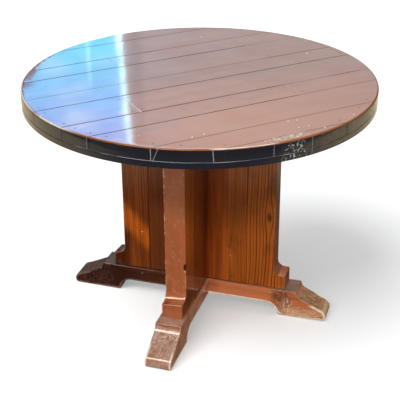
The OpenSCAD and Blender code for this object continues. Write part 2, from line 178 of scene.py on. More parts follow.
class TableSettings(bpy.types.PropertyGroup):
    top: PointerProperty(type=TopSettings)
    rim: PointerProperty(type=RimSettings)
    pedestal: PointerProperty(type=PedestalSettings)
    base: PointerProperty(type=BaseSettings)
    fasteners: PointerProperty(type=FastenerSettings)
    stage: PointerProperty(type=StageSettings)


def settings():
    return bpy.context.scene.round_table


# Layout of the top, in metres along (u) and across (v) the boards

GRAIN_TURN = math.radians(45)
ROW_WIDTHS = (94 * MM, 143 * MM)
MIDDLE_SEAM = -25 * MM
ROWS = (-5, 4)
END_JOINTS = {-2: 197 * MM, -1: -272 * MM, 1: 280 * MM, 2: -155 * MM}
ROWS_OUTWARDS = (0, -1, 1, -2, 2, -3, 3, -4, 4, -5)
# How dark each seam has become, by the row above it: stretches along it as start, end and darkness
SEAM_STRETCHES = {-4: ((-1, 1, 0.30),), -3: ((-1, 1, 0.35),), -2: ((-1, 0.19, 0.85), (0.19, 1, 0.28)),
                  -1: ((-1, 0.20, 0.85), (0.20, 0.35, 0.10), (0.35, 0.47, 0.75), (0.47, 1, 0.1)),
                  0: ((-1, 1, 0.9),), 1: ((-1, 0.27, 0.16), (0.27, 0.53, 0.85)),
                  2: ((-1, 0.28, 0.9), (0.28, 1, 0.12)), 3: ((-1, 0.0, 0.9), (0.0, 1, 0.38)), 4: ((-1, 1, 0.8),)}
# How pale each end joint has become, by row
JOINT_PALENESS = {-2: 0.10, -1: 0.95, 1: 0.08, 2: 0.85}
NAIL_IN, NAIL_SIDE, NAIL_END = 24 * MM, 22 * MM, 14 * MM
RING_BLOCKS = 8
RING_JOINT = math.radians(-85)
RING_STEP = math.tau / RING_BLOCKS


def seam(row):
    return MIDDLE_SEAM + (row // 2) * sum(ROW_WIDTHS) + (ROW_WIDTHS[0] if row % 2 else 0)


def row_span(row):
    low = -TOP_RADIUS * 1.1 if row == ROWS[0] else seam(row)
    high = TOP_RADIUS * 1.1 if row == ROWS[1] else seam(row + 1)
    return low, high


def boards():
    """Each board of the top as its row, its span across and its span along."""
    far = TOP_RADIUS * 1.1
    for row in ROWS_OUTWARDS:
        ends = [-far, *([END_JOINTS[row]] if row in END_JOINTS else []), far]
        for start, end in zip(ends, ends[1:]):
            yield row, row_span(row), (start, end)


def to_world(u, v, z=0.0):
    c, s = math.cos(GRAIN_TURN), math.sin(GRAIN_TURN)
    return Vector((u * c - v * s, u * s + v * c, z))


# Node trees

class Wire:
    """A node's output: arithmetic on it adds math nodes, and a | b is the larger of the two."""

    def __init__(self, tree, socket):
        self.tree, self.socket = tree, socket

    def __abs__(self):
        return self.tree.math("ABSOLUTE", self)

    def lay(self, mask, colour):
        """This colour with another laid over it where the mask says so."""
        return self.tree.mix(mask, self, colour)

    def stain(self, mask, colour):
        """This colour darkened by another where the mask says so."""
        return self.tree.mix(mask, self, colour, "MULTIPLY")


def arithmetic(operation, swapped=False):
    def apply(self, other):
        make = self.tree.vector if self.socket.type == "VECTOR" else self.tree.math
        return make(operation, *((other, self) if swapped else (self, other)))
    return apply


for symbol, operation in (("add", "ADD"), ("sub", "SUBTRACT"), ("mul", "MULTIPLY"), ("truediv", "DIVIDE")):
    setattr(Wire, f"__{symbol}__", arithmetic(operation))
    setattr(Wire, f"__r{symbol}__", arithmetic(operation, swapped=True))
Wire.__or__, Wire.__gt__, Wire.__lt__ = (arithmetic(name) for name in ("MAXIMUM", "GREATER_THAN", "LESS_THAN"))


class Tree:
    """Adds nodes to a tree and joins them, with plain numbers set on the sockets."""

    def __init__(self, tree):
        self.tree = tree

    def feed(self, socket, value):
        if isinstance(value, Wire):
            value = value.socket
        if isinstance(value, bpy.types.NodeSocket):
            self.tree.links.new(value, socket)
        elif value is not None:
            wanted = len(socket.default_value) if hasattr(socket.default_value, "__len__") else 0
            if wanted and not hasattr(value, "__len__"):
                value = (value,) * wanted
            elif wanted == 4 and len(value) == 3:
                value = (*value, 1.0)
            socket.default_value = value

    def add(self, kind, inputs=None, **values):
        node = self.tree.nodes.new(kind)
        for name, value in values.items():
            setattr(node, name, value)
        for key, value in (inputs or {}).items():
            self.feed(node.inputs[key], value)
        return node

    def wire(self, output, kind, inputs=None, **values):
        """Adds a node and gives one of its outputs."""
        return Wire(self, self.add(kind, inputs, **values).outputs[output])

    def math(self, operation, *values, clamp=False):
        return self.wire(0, "ShaderNodeMath", dict(enumerate(values)), operation=operation, use_clamp=clamp)

    def vector(self, operation, a, b=None, **named):
        output = "Value" if operation in ("LENGTH", "DISTANCE", "DOT_PRODUCT") else 0
        return self.wire(output, "ShaderNodeVectorMath", {0: a, 1: b, **named}, operation=operation)

    def split(self, vector):
        return [Wire(self, o) for o in self.add("ShaderNodeSeparateXYZ", {0: vector}).outputs]

    def join(self, x, y, z):
        return self.wire(0, "ShaderNodeCombineXYZ", {0: x, 1: y, 2: z})

    def noise(self, vector, scale, detail=2.0, roughness=0.5, dimensions="3D"):
        """Noise at a scale, or at one scale for each direction."""
        if isinstance(scale, tuple):
            vector, scale = self.vector("MULTIPLY", vector, scale), 1
        at = "W" if dimensions == "1D" else "Vector"
        return self.wire("Fac", "ShaderNodeTexNoise", {at: vector, "Scale": scale, "Detail": detail,
                                                       "Roughness": roughness}, noise_dimensions=dimensions)

    def span(self, value, low, high, to_low=0.0, to_high=1.0, smooth=True):
        """The value carried from one range to another, and held at its ends."""
        return self.wire(0, "ShaderNodeMapRange", dict(enumerate((value, low, high, to_low, to_high))),
                         interpolation_type="SMOOTHSTEP" if smooth else "LINEAR", clamp=True)

    def blots(self, vector, scale, detail, roughness, *ends):
        """Noise carried from one range to another."""
        return self.span(self.noise(vector, scale, detail, roughness), *ends)

    def mix(self, share_of_second, first, second, blend="MIX"):
        return self.wire(2, "ShaderNodeMix", {0: share_of_second, 6: first, 7: second}, data_type="RGBA",
                         blend_type=blend)

    def attribute(self, name, output="Fac"):
        return self.wire(output, "ShaderNodeAttribute", attribute_name=name)

    def place(self, output="Object"):
        return self.wire(output, "ShaderNodeTexCoord")

    def group(self, tree, **inputs):
        """Runs a node group and gives its outputs by name."""
        outputs = self.add("ShaderNodeGroup", spoken(inputs), node_tree=tree).outputs
        return {o.name: Wire(self, o) for o in outputs}


def scaled(colour, amount):
    return [c * amount for c in colour]


def spoken(named):
    """The same values under the names that the sockets show."""
    return {key.replace("_", " ").capitalize(): value for key, value in named.items()}


def new_group(name, kind, first, sizes, more, outputs):
    """A node group with named sockets, ready to be filled: its sizes are plain numbers under their own names."""
    tree = bpy.data.node_groups.new(name, kind)
    numbers = [(label, NUMBER, value) for label, value in spoken(sizes).items()]
    for label, socket, value in (first, *numbers, *more):
        made = tree.interface.new_socket(label, in_out="INPUT", socket_type=socket)
        if value is not None:
            made.default_value = value
    for label, socket in outputs:
        tree.interface.new_socket(label, in_out="OUTPUT", socket_type=socket)
    wires = Tree(tree)
    given = {o.name: Wire(wires, o) for o in wires.add("NodeGroupInput").outputs}
    return tree, wires, given, wires.add("NodeGroupOutput").inputs


NUMBER, VECTOR, GEOMETRY = "NodeSocketFloat", "NodeSocketVector", "NodeSocketGeometry"


def shader_group(name, outputs, **sizes):
    """A shader group that works on a place and gives plain numbers."""
    return new_group(name, "ShaderNodeTree", ("Vector", VECTOR, None), sizes, (), [(o, NUMBER) for o in outputs])


@cache
def wood_grain():
    """Growth rings round a pith line and fine fibre, with Z of the vector along the grain."""
    tree, t, given, result = shader_group("Wood grain", ("Late wood", "Fibre", "Streaks", "Tone", "Height"),
                                          spacing=0.006, wander=0.004, pith_side=0.05, pith_depth=0.16)
    at = given["Vector"]
    x, y, z = t.split(at)
    bend = (t.noise(at, (5, 5, 1.6), 2) - 0.5) * 5 + (t.noise(at, (26, 26, 5), 1) - 0.5) * 0.8
    side = bend * given["Wander"] + x - given["Pith side"]
    depth = y - given["Pith depth"]
    radius = t.math("SQRT", side * side + depth * depth)
    ring = radius / given["Spacing"]
    ring = ring + t.noise(ring * 0.45, 1, 1, dimensions="1D") * 0.9
    part = t.math("FRACT", ring)
    strength = t.wire("Value", "ShaderNodeTexWhiteNoise", {"W": t.math("FLOOR", ring)}, noise_dimensions="1D")
    late = t.span(part, 0.58, 0.8) * t.span(part, 1.0, 0.96) * t.span(strength, 0, 1, 0.55, 1.0, False)
    fibre = t.noise(at, (620, 620, 22), 3, 0.6)
    streaks = t.join(bend * 0.4 + x * 150, y * 90, z * 2.4)
    t.feed(result["Late wood"], late)
    t.feed(result["Fibre"], fibre)
    t.feed(result["Streaks"], t.noise(streaks, 1, 3, 0.6))
    t.feed(result["Tone"], t.noise(at, (14, 14, 2.2), 3, 0.55))
    t.feed(result["Height"], late * 0.6 + fibre * 0.5)
    return tree


@cache
def edge_wear():
    """Where an edge has been rubbed: a ragged band beside it."""
    tree, t, given, result = shader_group("Edge wear", ["Worn"], distance=1.0, width=0.003, amount=0.5)
    ragged = t.noise(given["Vector"], 55, 4, 0.65)
    patches = t.noise(given["Vector"], 7, 2, 0.5)
    reach = given["Width"] * t.span(ragged, 0.3, 0.75, 0.1, 1.6, False)
    band = t.span(given["Distance"] / reach, 1.0, 0.5)
    allowed = t.span(patches + given["Amount"], 0.85, 1.1)
    t.feed(result["Worn"], band * allowed)
    return tree


@cache
def scuffs():
    """Rubbed patches, fine scratches and small chips, as masks."""
    tree, t, given, result = shader_group("Scuffs", ("Patch", "Scratch", "Chip"), patch_size=0.05, patches=0.3,
                                          scratches=0.3, chips=0.2, chip_size=0.004)
    at = given["Vector"]
    cloud = t.noise(t.vector("SCALE", at, Scale=1.0 / given["Patch size"]), 1, 5, 0.62)
    t.feed(result["Patch"], t.span(cloud + given["Patches"], 0.8, 0.98))
    ways = []
    for turned in ((0.2, 0.3, 0.5), (-0.5, 0.3, 1.9), (0.9, 0.3, 2.8)):
        lines = t.wire(0, "ShaderNodeVectorRotate", {"Vector": at, "Rotation": turned}, rotation_type="EULER_XYZ")
        ways.append(t.blots(lines, (900, 16, 900), 1, 0.4, 0.735, 0.80))
    scratch = ways[0] | ways[1] | ways[2]
    zones = t.span(t.noise(at, 9, 2) + given["Scratches"], 0.75, 1.05)
    t.feed(result["Scratch"], scratch * zones)
    cells = t.add("ShaderNodeTexVoronoi",
                  {"Vector": t.vector("SCALE", at, Scale=1.0 / given["Chip size"]), "Scale": 0.22}, feature="F1")
    lone = t.split(cells.outputs["Color"])[0] + given["Chips"] > 1.0
    blob = t.span(cells.outputs["Distance"] + t.noise(at, 420, 2) * 0.3, 0.42, 0.32)
    t.feed(result["Chip"], lone * blob)
    return tree


def finish_material(t, base, roughness, height=None, bump=0.2, depth=0.0008):
    """Joins colour, roughness and relief to the shader."""
    t.feed(t.shader.inputs["Base Color"], base)
    t.feed(t.shader.inputs["Roughness"], roughness)
    if height is not None:
        node = t.add("ShaderNodeBump", {"Strength": bump, "Distance": depth, "Height": height})
        t.feed(t.shader.inputs["Normal"], node.outputs[0])


def start_material(name, **constants):
    """A new material with plain numbers set on its shader."""
    material = bpy.data.materials.new(name)
    material.use_nodes = True
    t = Tree(material.node_tree)
    t.shader = material.node_tree.nodes["Principled BSDF"]
    for socket, value in constants.items():
        t.feed(t.shader.inputs[socket.replace("_", " ")], value)
    return material, t


def polar(t, place):
    """Distance from the upright axis and turn round it in degrees."""
    x, y, z = t.split(place)
    return t.math("SQRT", x * x + y * y), t.math("ARCTAN2", y, x) * (180 / math.pi), z


def near(t, value, centre, half_width, soft):
    """One close to a centre, and zero away from it."""
    off = abs(value - centre)
    return t.span(off, half_width + soft, half_width)


def spot(t, place, centre, radius):
    """One within a radius of a place, fading to zero outside it."""
    return t.span(t.vector("DISTANCE", place, centre), radius, radius * 0.35)


# Cracks in the rim's paint: turn in degrees, lowest place, strength and lean to the right going up
RIM_CRACKS = ((-117.1, 0.7285, 0.35, 0.0), (-106.3, 0.7285, 0.55, 0.0), (-86.2, 0.7285, 0.95, 0.0),
              (-85.6, 0.7285, 0.75, 0.42), (-68.7, 0.7285, 0.95, -0.08), (-51.6, 0.7285, 0.6, 0.0),
              (-38.9, 0.715, 0.5, 0.0), (-20.6, 0.7285, 0.45, 0.0), (10.0, 0.7285, 0.5, 0.05),
              (64.0, 0.7285, 0.7, -0.1), (113.5, 0.7285, 0.5, 0.0), (157.0, 0.7285, 0.6, 0.1))
# Chips in the varnish of the top: place and size
TOP_CHIPS = ((0.117, -0.438, 0.0032), (0.141, -0.410, 0.0028), (0.331, -0.258, 0.0028), (0.352, -0.244, 0.0030),
             (0.434, -0.272, 0.0036), (0.462, -0.274, 0.0030), (0.493, -0.160, 0.0026), (-0.020, -0.470, 0.0024),
             (-0.310, 0.190, 0.0030), (-0.120, 0.400, 0.0026), (0.260, 0.330, 0.0030),
             (0.368, -0.293, 0.0032), (0.391, -0.276, 0.0026), (0.460, -0.275, 0.0028), (0.306, -0.409, 0.0036))
# Middles of the white scuffs on the rim and of its brown streaks, which are partly rubbed paint and partly painted
# reflection
SCUFF_WHITE = (0.379, -0.375, 0.728)
BROWN_STREAKS_AND_REFLECTION = (0.498, -0.190, 0.738)
SEAM_DIRT = (0.012, 0.006, 0.005)


def rim_marks(t, place):
    """Marks in the black paint: pale cracks, pale scuffs and brown streaks, as masks; the brown streaks are partly
    rubbed paint and partly painted reflection at the far right and far left.
    """
    radius, angle, z = polar(t, place)
    broken = t.noise(place, 11, 3, 0.6)
    waver = (t.noise(place, 30, 3) - 0.5) * 0.003
    level = z + waver
    strong = near(t, angle, -98, 12, 8) | near(t, angle, -55, 16, 10) * 0.7
    opened = t.math("ADD", strong * 0.6, t.span(broken, 0.42, 0.6, 0.08, 0.55), clamp=True)
    flat = near(t, level, RING_TOP, 0.0002, 0.0006) * opened
    along = angle * math.radians(TOP_RADIUS)
    marks = flat
    for turned, low, strength, lean in RIM_CRACKS:
        here = along + (z - low) * -lean + waver * 0.7
        one = near(t, here, math.radians(turned) * TOP_RADIUS, 0.0003, 0.0008)
        marks = marks | one * ((z > low) * strength)
    marks = marks * t.blots(place, 90, 3, 0.6, 0.3, 0.5, 0.45, 1.0)
    blotch = spot(t, place, SCUFF_WHITE, 0.05) * t.blots(place, 150, 5, 0.72, 0.54, 0.59)
    marks = marks | blotch * 0.95
    stretched = t.join(along * 45, z * 330, 0)
    # Brown streaks, partly rubbed paint and partly painted reflection, at the far right and, below, at the far left
    streaks = spot(t, place, BROWN_STREAKS_AND_REFLECTION, 0.2) * t.blots(stretched, 1, 4, 0.65, 0.48, 0.62)
    left_rub_and_reflection = t.span(abs(angle), 138, 160, 0.0, 0.85)
    streaks = streaks | left_rub_and_reflection * t.blots(stretched, 0.6, 4, 0.65, 0.36, 0.56, 0.35, 1.0)
    return radius, angle, z, marks, streaks, broken


def top_varnish():
    """Dark glossy varnish on the boards, black paint on their rim, bare wood below."""
    s = settings().top
    r = settings().rim
    material, t = start_material("top_varnish", Specular_IOR_Level=0.25, Coat_Roughness=0.055, Coat_IOR=1.52)
    place = t.place()
    grain_place = t.attribute("grain", "Vector")
    grain = t.group(wood_grain(), vector=grain_place, spacing=0.0062, wander=0.006, pith_side=0.02,
                    pith_depth=-0.13)
    tone = t.attribute("tone")
    radius, angle, z, marks, streaks, broken = rim_marks(t, place)
    wear = t.group(scuffs(), vector=place, patch_size=0.09, patches=0.22, scratches=0.12, chips=0.016,
                   chip_size=0.0030)

    # Boards: colour by board, grain and thinned varnish, and a painted highlight along the edge
    body = t.mix(grain["Late wood"] * 0.14, s.varnish, scaled(s.varnish, 0.5))
    body = body.lay(t.span(grain["Fibre"], 0.35, 0.8) * 0.1, s.varnish_worn)
    body = body.lay(t.span(tone, 0, 1, 0.0, 0.16, False), scaled(s.varnish, 1.6))
    front = spot(t, place, (0.16, -0.42, TABLE_HEIGHT), 0.55) + spot(t, place, (0.46, -0.05, TABLE_HEIGHT), 0.3) * 0.7
    even = (grain["Tone"] - 0.5) * 0.6 + 0.5
    front_right = spot(t, place, (0.22, -0.37, TABLE_HEIGHT), 0.26) * 0.35
    thin = t.span(even + front * 0.32, 0.45, 0.95) * 0.7
    body = body.lay(thin, s.varnish_worn)
    body = body.lay(front_right, (0.40, 0.135, 0.040))
    seam_line = t.span(t.attribute("seam_distance"), 0.0026, 0.0018)
    seam_seen = t.attribute("seam_seen") * t.blots(grain_place, (0.2, 1, 14), 2, 0.5, 0.3, 0.5, 0.55, 1.0)
    seam_line = seam_line * seam_seen
    body = body.lay(seam_line, SEAM_DIRT)
    joint_core = t.span(t.attribute("joint_distance"), 0.0014, 0.0007) * t.attribute("joint_seen")
    body = body.lay(joint_core * 0.9, SEAM_DIRT)
    joint_line = near(t, t.attribute("joint_distance"), 0.003, 0.001, 0.0009) * t.attribute("joint_seen")
    joint_line = joint_line * t.blots(place, 60, 3, 0.5, 0.32, 0.5, 0.15, 1.0)
    edge_rub = near(t, radius, TOP_RADIUS - 0.0014, 0.0007, 0.001) * t.span(broken, 0.35, 0.6, 0.15, 0.85)
    on_top = t.span(z, TABLE_HEIGHT - 0.0062, TABLE_HEIGHT - 0.0045)
    rub_here = t.span(abs(angle + 75), 48, 30, 0.25, 1.0) * 0.45
    body = body.lay(edge_rub * on_top * rub_here, (0.44, 0.17, 0.05))
    edge_band = t.span(radius, TOP_RADIUS - 0.0042, TOP_RADIUS - 0.003) * on_top
    body = body.lay(edge_band * 0.45, (0.3, 0.085, 0.022))
    # Painted highlight: a white line along the rounded edge of the top, broad at the left and thin at the front right
    left_edge_highlight = near(t, radius, TOP_RADIUS - 0.0026, 0.0017, 0.0009) * near(t, angle, -150, 30, 12)
    right_edge_highlight = near(t, radius, TOP_RADIUS - 0.0024, 0.0006, 0.0008) * near(t, angle, -60, 7, 4)
    edge_highlight = (left_edge_highlight | right_edge_highlight) * t.span(broken, 0.33, 0.52, 0.3, 1.0)
    along = angle * math.radians(TOP_RADIUS)
    scratch_zone = near(t, angle, -46, 4, 4) * near(t, radius, 0.51, 0.007, 0.012)
    scratched = t.noise(t.join(radius * 300, along * 45, 3.1), 1, 5, 0.75)
    rubbed = scratch_zone * t.span(scratched, 0.52, 0.56)
    rubbed = rubbed | edge_highlight * on_top
    dots = wear["Chip"] * 0.06
    for x, y, size in TOP_CHIPS:
        dots = dots | spot(t, place, (x, y, TABLE_HEIGHT), size)
    # The pale colour covers scratches, pale joint lines and chips, and also the painted edge highlight
    pale = rubbed | joint_line | dots
    body = body.lay(pale, (0.80, 0.77, 0.74))

    # Underside
    below = t.span(z, RING_TOP + 0.0006, RING_TOP + 0.0002)
    raw = t.mix(grain["Late wood"] * 0.6, s.underside, scaled(s.underside, 0.45))
    body = body.lay(below, raw)

    # Rim
    paint_line = s.paint_top + (t.noise(place, 60, 3) - 0.5) * 0.0014
    painted = t.span(radius, TOP_RADIUS - 0.0013, TOP_RADIUS - 0.0006) * (z < paint_line)
    # The brown streaks laid here are partly painted reflection
    paint = t.mix(streaks, r.paint, r.rubbed).lay(marks, r.crack)
    base = t.mix(painted, body, paint)

    bare = pale | (marks | streaks) * painted
    lost = bare | seam_line | below
    lost = lost | edge_band * 0.92
    t.feed(t.shader.inputs["Coat Weight"], 1.0 - lost * 0.85)
    rough = t.blots(place, 5, 3, 0.5, 0.3, 0.7, s.gloss, s.gloss * 1.4)
    rough = rough + wear["Scratch"] * 0.2
    rough = rough + lost * 0.35
    rough = t.math("ADD", rough, edge_band * t.span(angle, -82, -70, 0.0, 0.4), clamp=True)
    height = grain["Height"] * 0.08 - lost
    height = height + t.noise(place, 12, 2) * 0.5
    finish_material(t, base, rough, height, 0.30)
    return material


def rim_paint():
    """Black paint on the ring, cracked and scuffed, with brown streaks that are partly painted reflection, and
    stained wood below.
    """
    r = settings().rim
    under = settings().top.underside
    material, t = start_material("rim_paint", Specular_IOR_Level=0.25, Coat_Roughness=0.07, Coat_IOR=1.48)
    place = t.place()
    radius, angle, z, marks, streaks, _ = rim_marks(t, place)
    lower_edge = t.span(z, RING_BOTTOM + 0.003, RING_BOTTOM + 0.001) * t.blots(place, 26, 3, 0.6, 0.56, 0.66)
    # The brown streaks laid here are partly painted reflection
    paint = t.mix(streaks, r.paint, r.rubbed).lay(marks, r.crack)
    paint = paint.lay(lower_edge * 0.8, (0.25, 0.11, 0.05))
    polar_grain = t.join(radius - 0.4, z, angle * math.radians(0.48))
    grain = t.group(wood_grain(), vector=polar_grain, spacing=0.007, wander=0.01, pith_side=0.03, pith_depth=0.5)
    raw = t.mix(grain["Late wood"] * 0.6, under, scaled(under, 0.4))
    edge = TOP_RADIUS - 0.01 + (t.noise(place, 30, 3) - 0.5) * 0.014
    bare = (radius < edge) * t.span(z, RING_TOP, RING_TOP - 0.001)
    base = t.mix(bare, paint, raw)
    lost = marks | streaks | bare
    t.feed(t.shader.inputs["Coat Weight"], 1.0 - lost * 0.8)
    rough = t.blots(place, 6, 3, 0.5, 0.3, 0.7, 0.3, 0.42)
    rough = t.math("ADD", rough, lost * 0.3, clamp=True)
    height = t.noise(place, 17, 2) * 0.4 - marks
    finish_material(t, base, rough, height, 0.35)
    return material


def varnished_wood(name, colours, spacing, wander, pith, contrast, coat_rough, skin, extra, bend=None):
    """Varnished wood with straight grain along the piece's own grain attribute."""
    light, dark, deep = colours
    material, t = start_material(name, Specular_IOR_Level=0.25, Coat_Roughness=coat_rough, Coat_IOR=1.5)
    place = t.place()
    grain_place = t.attribute("grain", "Vector")
    if bend:
        grain_place = grain_place + bend(t, place)
    tone = t.attribute("tone")
    grain = t.group(wood_grain(), vector=grain_place, spacing=spacing, wander=wander, pith_side=pith[0],
                    pith_depth=pith[1])
    base = t.mix(t.span(grain["Tone"], 0.32, 0.68, 0.0, 0.5), light, scaled(light, 0.55))
    if callable(contrast):
        contrast = contrast(t, place)
    base = base.lay(grain["Late wood"] * contrast, dark)
    base = base.lay(t.span(grain["Streaks"], 0.46, 0.66) * (contrast * -0.16 + 0.42), scaled(light, 0.36))
    base = base.lay(t.span(grain["Fibre"], 0.42, 0.75) * 0.3, scaled(light, 0.45))
    # The tone darkens each piece by its own amount; the dark tones of the left wing, the front wing's inner board and
    # the left foot are painted shade
    base = base.stain(tone, deep)
    base, worn = extra(t, place, grain, base)
    t.feed(t.shader.inputs["Coat Weight"],
           t.math("SUBTRACT", t.blots(place, 9, 3, 0.5, 0.3, 0.7, 0.95, 0.7), worn * 0.7, clamp=True))
    rough = t.math("ADD", t.span(grain["Fibre"], 0.2, 0.8, 0.34, 0.46), worn * 0.25, clamp=True)
    height = grain["Height"] - worn * 0.9
    height = height + t.noise(place, 330, 3, 0.6) * 0.5
    height = t.noise(place, 175, 3, 0.6) * skin + height
    finish_material(t, base, rough, height, 0.25)
    return material


# Middle of the knot in the right wing
KNOT = Vector((235.7, -33, 345.6)) * MM
# Middle of the dark scraped patch on the right foot, and of the pale strokes below it
SCRAPED_DARK = Vector((284, -41, 62)) * MM
SCUFFED_PAD = Vector((303, -41, 36)) * MM


def round_the_knot(t, place):
    """Pushes the grain lines aside at the knot."""
    s = settings().pedestal
    off = t.split(place - KNOT)
    across = abs(off[0])
    push = t.span(abs(off[2]), 0.085, 0.0) * t.span(across, 0.05, 0.0, 0.0, 0.0085)
    push = push * t.span(abs(off[1]), 0.06, 0.03)
    moved_to = across - push | 0.0
    shift = (moved_to - across) * t.math("SIGN", off[0])
    left_board = t.math("MINIMUM", off[0] + (KNOT.x + s.joint), 0.0)
    shift = shift * LINE_SPREAD + left_board * -0.25
    return t.join(shift, 0, 0)


def line_contrast(t, place):
    """Paler lines in the inner boards, up to the joint."""
    s = settings().pedestal
    x, y, _ = t.split(place)
    reach = abs(x) | abs(y)
    return t.span(reach, s.joint - 0.055, s.joint + 0.005, 0.45, 1.0)


def upright_marks_and_shade(t, place, grain, base):
    """Adds to the fir's colour what only some of its places have, with painted shade and painted sunlight among it,
    and says how far the varnish is gone.
    """
    s = settings().pedestal
    away = t.vector("LENGTH", (place - KNOT) * (1, 0.5, 0.45))
    away = away + (t.noise(place, 160, 3) - 0.5) * 0.004
    base = base.lay(t.span(away, 0.0080, 0.0045), (0.20, 0.042, 0.009))
    shut = near(t, away, 0.0062, 0.0007, 0.0016) * t.blots(place, 110, 2, 0.5, 0.4, 0.55, 0.15, 0.85)
    base = base.lay(shut * 0.6, (0.03, 0.01, 0.004))
    base = base.lay(t.span(away, 0.0042, 0.0018) * 0.85, (0.04, 0.013, 0.005))
    x, y, z = t.split(place)

    # Darker and duller parts of the right and front wings, with painted shade on the front wing's right face and a
    # painted patch of sunlight on the left wing's inner board
    mottle = t.blots(place * (1, 1, 0.5), 15, 4, 0.62, 0.48, 0.7)
    base = base.stain(mottle * t.span(x, 0.06, 0.1), (0.5, 0.62, 0.6))
    streaky = t.span(grain["Streaks"], 0.48, 0.58) * t.span(x, s.joint - 0.02, s.joint - 0.05)
    base = base.stain(streaky * 0.4, (0.42, 0.42, 0.42))
    centre = t.span(x, 0.125, 0.025) * t.span(x, 0.0, 0.02)
    base = base.stain(centre * t.span(y, -0.1, -0.05), (0.62, 0.42, 0.36))
    reach = abs(x) | abs(y)
    normal = t.split(t.wire("True Normal", "ShaderNodeNewGeometry"))
    outwards = normal[0] * x + normal[1] * y
    outer = t.attribute("outer_edge") * t.span(outwards / reach, 0.2, 0.5)
    side = t.span(y, -0.04, -0.07) * t.span(x, 0.03, 0.032)
    # Painted shade on the front wing's right face, darker towards the bottom
    base = base.stain(side * t.span(z, 0.4, 0.2), (0.55, 0.5, 0.5))
    duller = near(t, z, 0.37, 0.04, 0.07) * t.span(x, 0.05, 0.09)
    base = base.stain(duller * 0.7, (0.74, 0.8, 1.0))
    # More painted shade on that face, towards the corner with the right wing
    base = base.stain(side * t.span(y, -0.13, -0.05), (0.62, 0.48, 0.42))
    # Painted light: a warm patch of sunlight on the lower part of the left wing's inner board, beside the lamp-lit
    # patch on its outer board
    warm = t.span(x, -s.joint, 0.002 - s.joint) * t.span(x, -0.04, -0.06) * t.span(z, 0.37, 0.3)
    base = base.lay(warm * 0.42, (0.34, 0.085, 0.02))

    # The front wing's end with the top's shadow painted on its upper part, the left block with painted shade, and the
    # line above the beam
    end = outer * (y < -0.2)
    uneven = t.noise(place, (30, 30, 9), 3)
    # Painted shadow of the top: the upper part of the front wing's end is darkened above a slanting line
    shade_line = x * -1.4 + 0.438
    upper = t.span(z - shade_line, -0.01, 0.008)
    base = base.stain(end * upper * 0.85, (0.66, 0.74, 0.85))
    base = base.stain(end * t.span(uneven, 0.4, 0.6, 0.0, 0.7), (0.7, 0.64, 0.62))
    rubs = t.noise(t.join(x * 60, z * 60, 0.7), 1, 6, 0.8)
    base = base.lay(end * t.span(rubs, 0.54, 0.62, 0.0, 0.75), (0.62, 0.32, 0.21))
    base = base.stain(end * t.span(z, BEAM_TOP + 0.056, BEAM_TOP + 0.044), (0.66, 0.58, 0.61))
    # Painted shade: the left wing's block is darkened
    left_block_shade = t.span(x, -0.215, -0.252) * t.span(z, 0.235, 0.205)
    base = base.stain(left_block_shade, (0.34, 0.25, 0.27))
    base = base.stain(t.span(z, BEAM_TOP + 0.0045, BEAM_TOP + 0.0015), (0.25, 0.18, 0.18))
    glue = near(t, reach, s.joint, 0.0007, 0.001) * t.span(x, -0.05, -0.1, 0.45, 0.9)
    glue = glue | near(t, reach, s.joint, 0.0014, 0.0012) * side
    base = base.lay(glue, (0.015, 0.006, 0.003))
    base = base.lay(outer * t.span(grain["Tone"], 0.3, 0.7, 0.82, 0.5), s.bleached)
    right_end = outer * t.span(x, 0.2, 0.22)
    base = base.stain(right_end, (0.50, 0.56, 0.60))

    # Worn edges, scratches, chips and the notch
    wear = t.group(edge_wear(), vector=place, distance=t.attribute("edge_distance"), width=0.0035, amount=0.42)
    marks = t.group(scuffs(), vector=place, patch_size=0.12, patches=0.0, scratches=0.08, chips=0.008,
                    chip_size=0.0022)
    low = t.span(z, 0.30, 0.10)
    worn = wear["Worn"] * (low * 0.4 + 0.5)
    worn = worn * t.span(x, -0.22, -0.16, 0.3, 1.0)
    worn = worn * t.span(abs(reach - s.joint), 0.004, 0.006)
    front_end = t.span(y, 0.012 - s.half_width, 0.004 - s.half_width)
    left_edge = near(t, x, -s.thickness / 2, 0.0012, 0.0024) * front_end
    chipped = left_edge * t.blots(place, 85, 4, 0.7, 0.5, 0.58)
    base = base.lay(chipped, (0.80, 0.62, 0.48))
    base = base.lay(worn, (0.52, 0.30, 0.17))
    base = base.lay(marks["Scratch"] * 0.3, (0.46, 0.22, 0.1))
    base = base.lay(marks["Chip"] * (0.7 - end * 0.7), (0.55, 0.4, 0.28))
    corner = (NOTCH.y - 0.0036, 0.0032 - NOTCH.x, NOTCH.z)
    hole = t.vector("LENGTH", (place - corner) * (1.5, 1, 0.5))
    hole = hole + (t.noise(place, 130, 3) - 0.5) * 0.005
    hole = t.span(hole, 0.0072, 0.0050)
    base = base.lay(hole, (0.040, 0.012, 0.006))
    dull = worn | hole | right_end * 0.95
    return base, dull | (marks["Scratch"] | marks["Chip"])


def upright_fir():
    """Varnished fir of the uprights, with the knot, the marks of the front and right wings, and painted shade and
    sunlight on the front and left wings.
    """
    s = settings().pedestal
    return varnished_wood("upright_fir", (s.light_wood, s.dark_wood, (0.22, 0.11, 0.07)), spacing=s.line_spacing,
                          wander=0.006, pith=(-0.42, 0.02), contrast=line_contrast, coat_rough=0.12, skin=0.0,
                          extra=upright_marks_and_shade, bend=round_the_knot)


